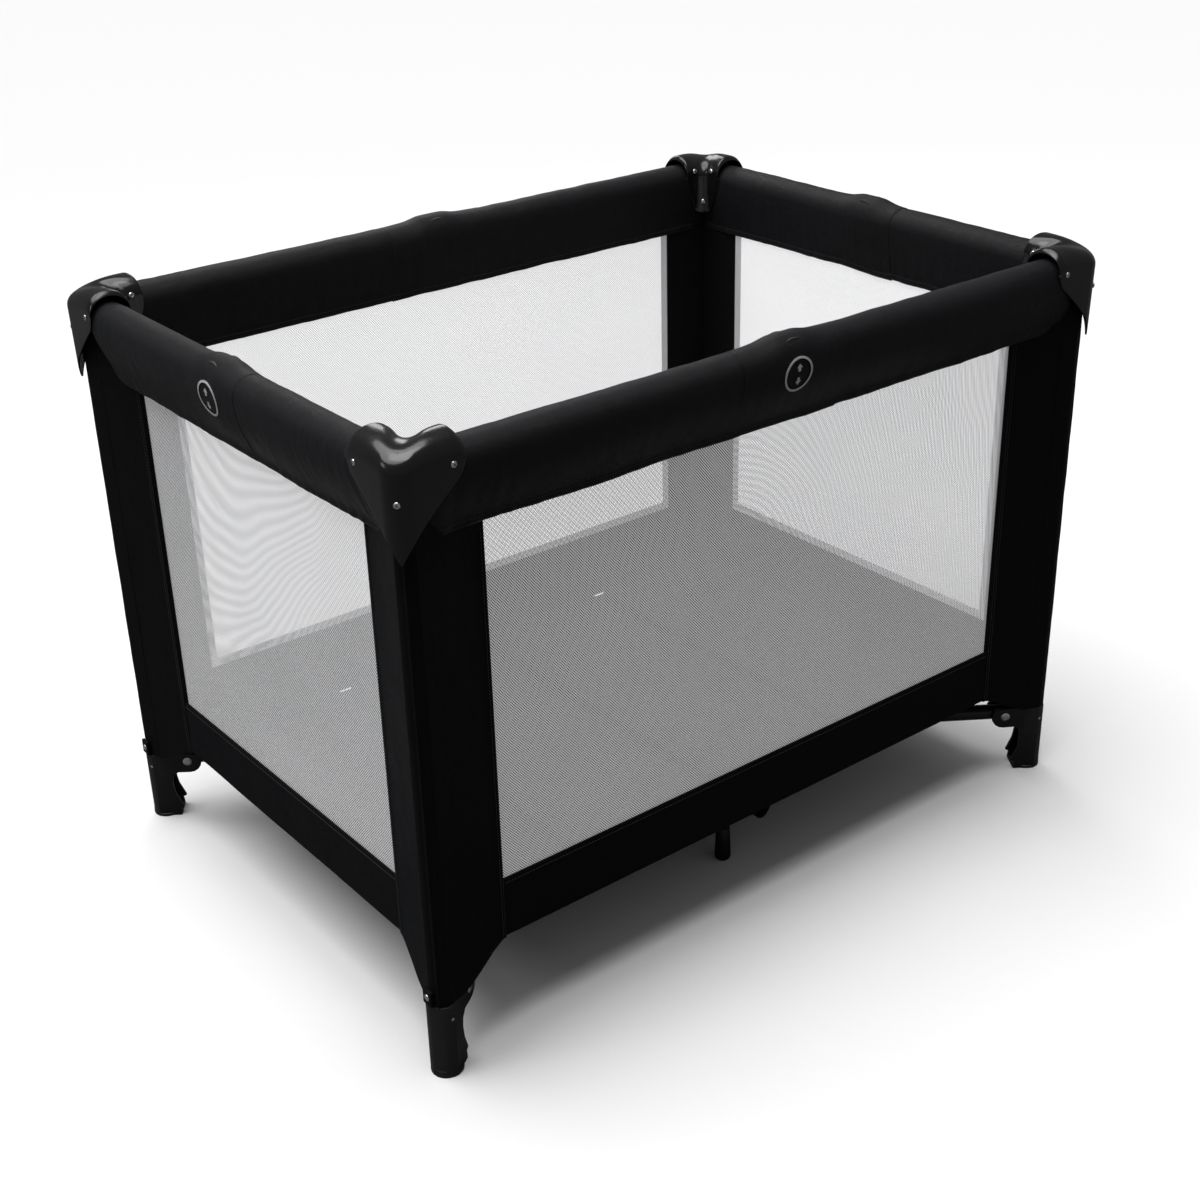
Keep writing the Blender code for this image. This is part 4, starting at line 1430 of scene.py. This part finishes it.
MAT_CLOTH = woven_cloth("mat_polyester", (0.0040, 0.0040, 0.0044), (0.0085, 0.0085, 0.0095),
                        0.0008, 0.7, 0.04, 0.62, 0.14)
spots, mat_low, mat_high = mat_places()
panel_width = spots[0][1] - 2 * MAT_GAP
panel_depth = mat_high.y - mat_low.y - 2 * MAT_GAP
swollen = swell(panel_block(panel_width, panel_depth, MAT_CORNER, MAT_START_THICK), MAT_CAP)
for index, (middle, _) in enumerate(spots):
    bm = bmesh.new()
    bm.from_mesh(swollen)
    bmesh.ops.subdivide_edges(bm, edges=bm.edges, cuts=1, use_grid_fill=True, smooth=0.4)
    for v in bm.verts:
        if v.co.z > MAT_START_THICK * 0.5:
            v.co.z -= CHANNEL_SUNK * channel_depth(v.co.x, v.co.y, panel_width, panel_depth)
            v.co.z += 0.0007 * soft_noise(v.co.x + index, v.co.y, 3.0 + index, 16.0, 16.0)
    bm.transform(Matrix.Translation((middle, 0.0, mat_low.z + 0.0004)))
    stands_for = ("mat",) if index == 0 else ()
    panel = keep_piece("mat_panel_" + str(index + 1), bm, MAT_CLOTH, "mat", stands_for,
                       60.0)
    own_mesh(panel)
bpy.data.meshes.remove(swollen)


def webbing():
    """Black polypropylene webbing with a fine diagonal weave."""
    finish = Finish("black_webbing")
    weave = finish.add("TexWave", {"Vector": finish.place, "Scale": 420.0, "Distortion": 0.4},
                       bands_direction="DIAGONAL")
    finish.join(finish.mix(finish.clouds(60.0), (0.006, 0.006, 0.007), (0.014, 0.014, 0.015)),
                "Base Color")
    finish.join(finish.bump(weave.outputs["Fac"], 0.0003), "Normal")
    finish.set(Roughness=0.7, Specular_IOR_Level=0.2)
    return finish.material


WEBBING = webbing()
low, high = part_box("pull_strap")
strap_middle, strap_half = (low + high) / 2, (high - low) / 2


def strap_point(u, v):
    """The strap lies flat, with a slight rise in the middle where it is gripped."""
    rise = 0.0006 * math.cos(u * math.pi / 2)
    return strap_middle + Vector((u * strap_half.x, v * strap_half.y, rise))


def loop_point(u, v):
    """A hanging loop: a ribbon from the floor down, round and back up."""
    turn = math.pi * (u + 1) / 2
    side = -LOOP_RADIUS * math.cos(turn)
    return LOOP_AT + Vector((side, v * LOOP_WIDTH / 2, -LOOP_DROP * math.sin(turn) ** 0.7))


for name, shape, stands_for, body, size in (
        ("webbing_strap", strap_point, ("pull_strap",), "hub",
         (2 * strap_half.x, 2 * strap_half.y)),
        ("strap_loop", loop_point, (), "base_front_right", (LOOP_LENGTH, LOOP_WIDTH))):
    bm = bmesh.new()
    surface(bm, 40, 8, shape)
    bmesh.ops.solidify(bm, geom=bm.faces, thickness=STRAP_THICK)
    bmesh.ops.recalc_face_normals(bm, faces=bm.faces)
    strap = keep_piece(name, bm, WEBBING, body, stands_for, 50.0)
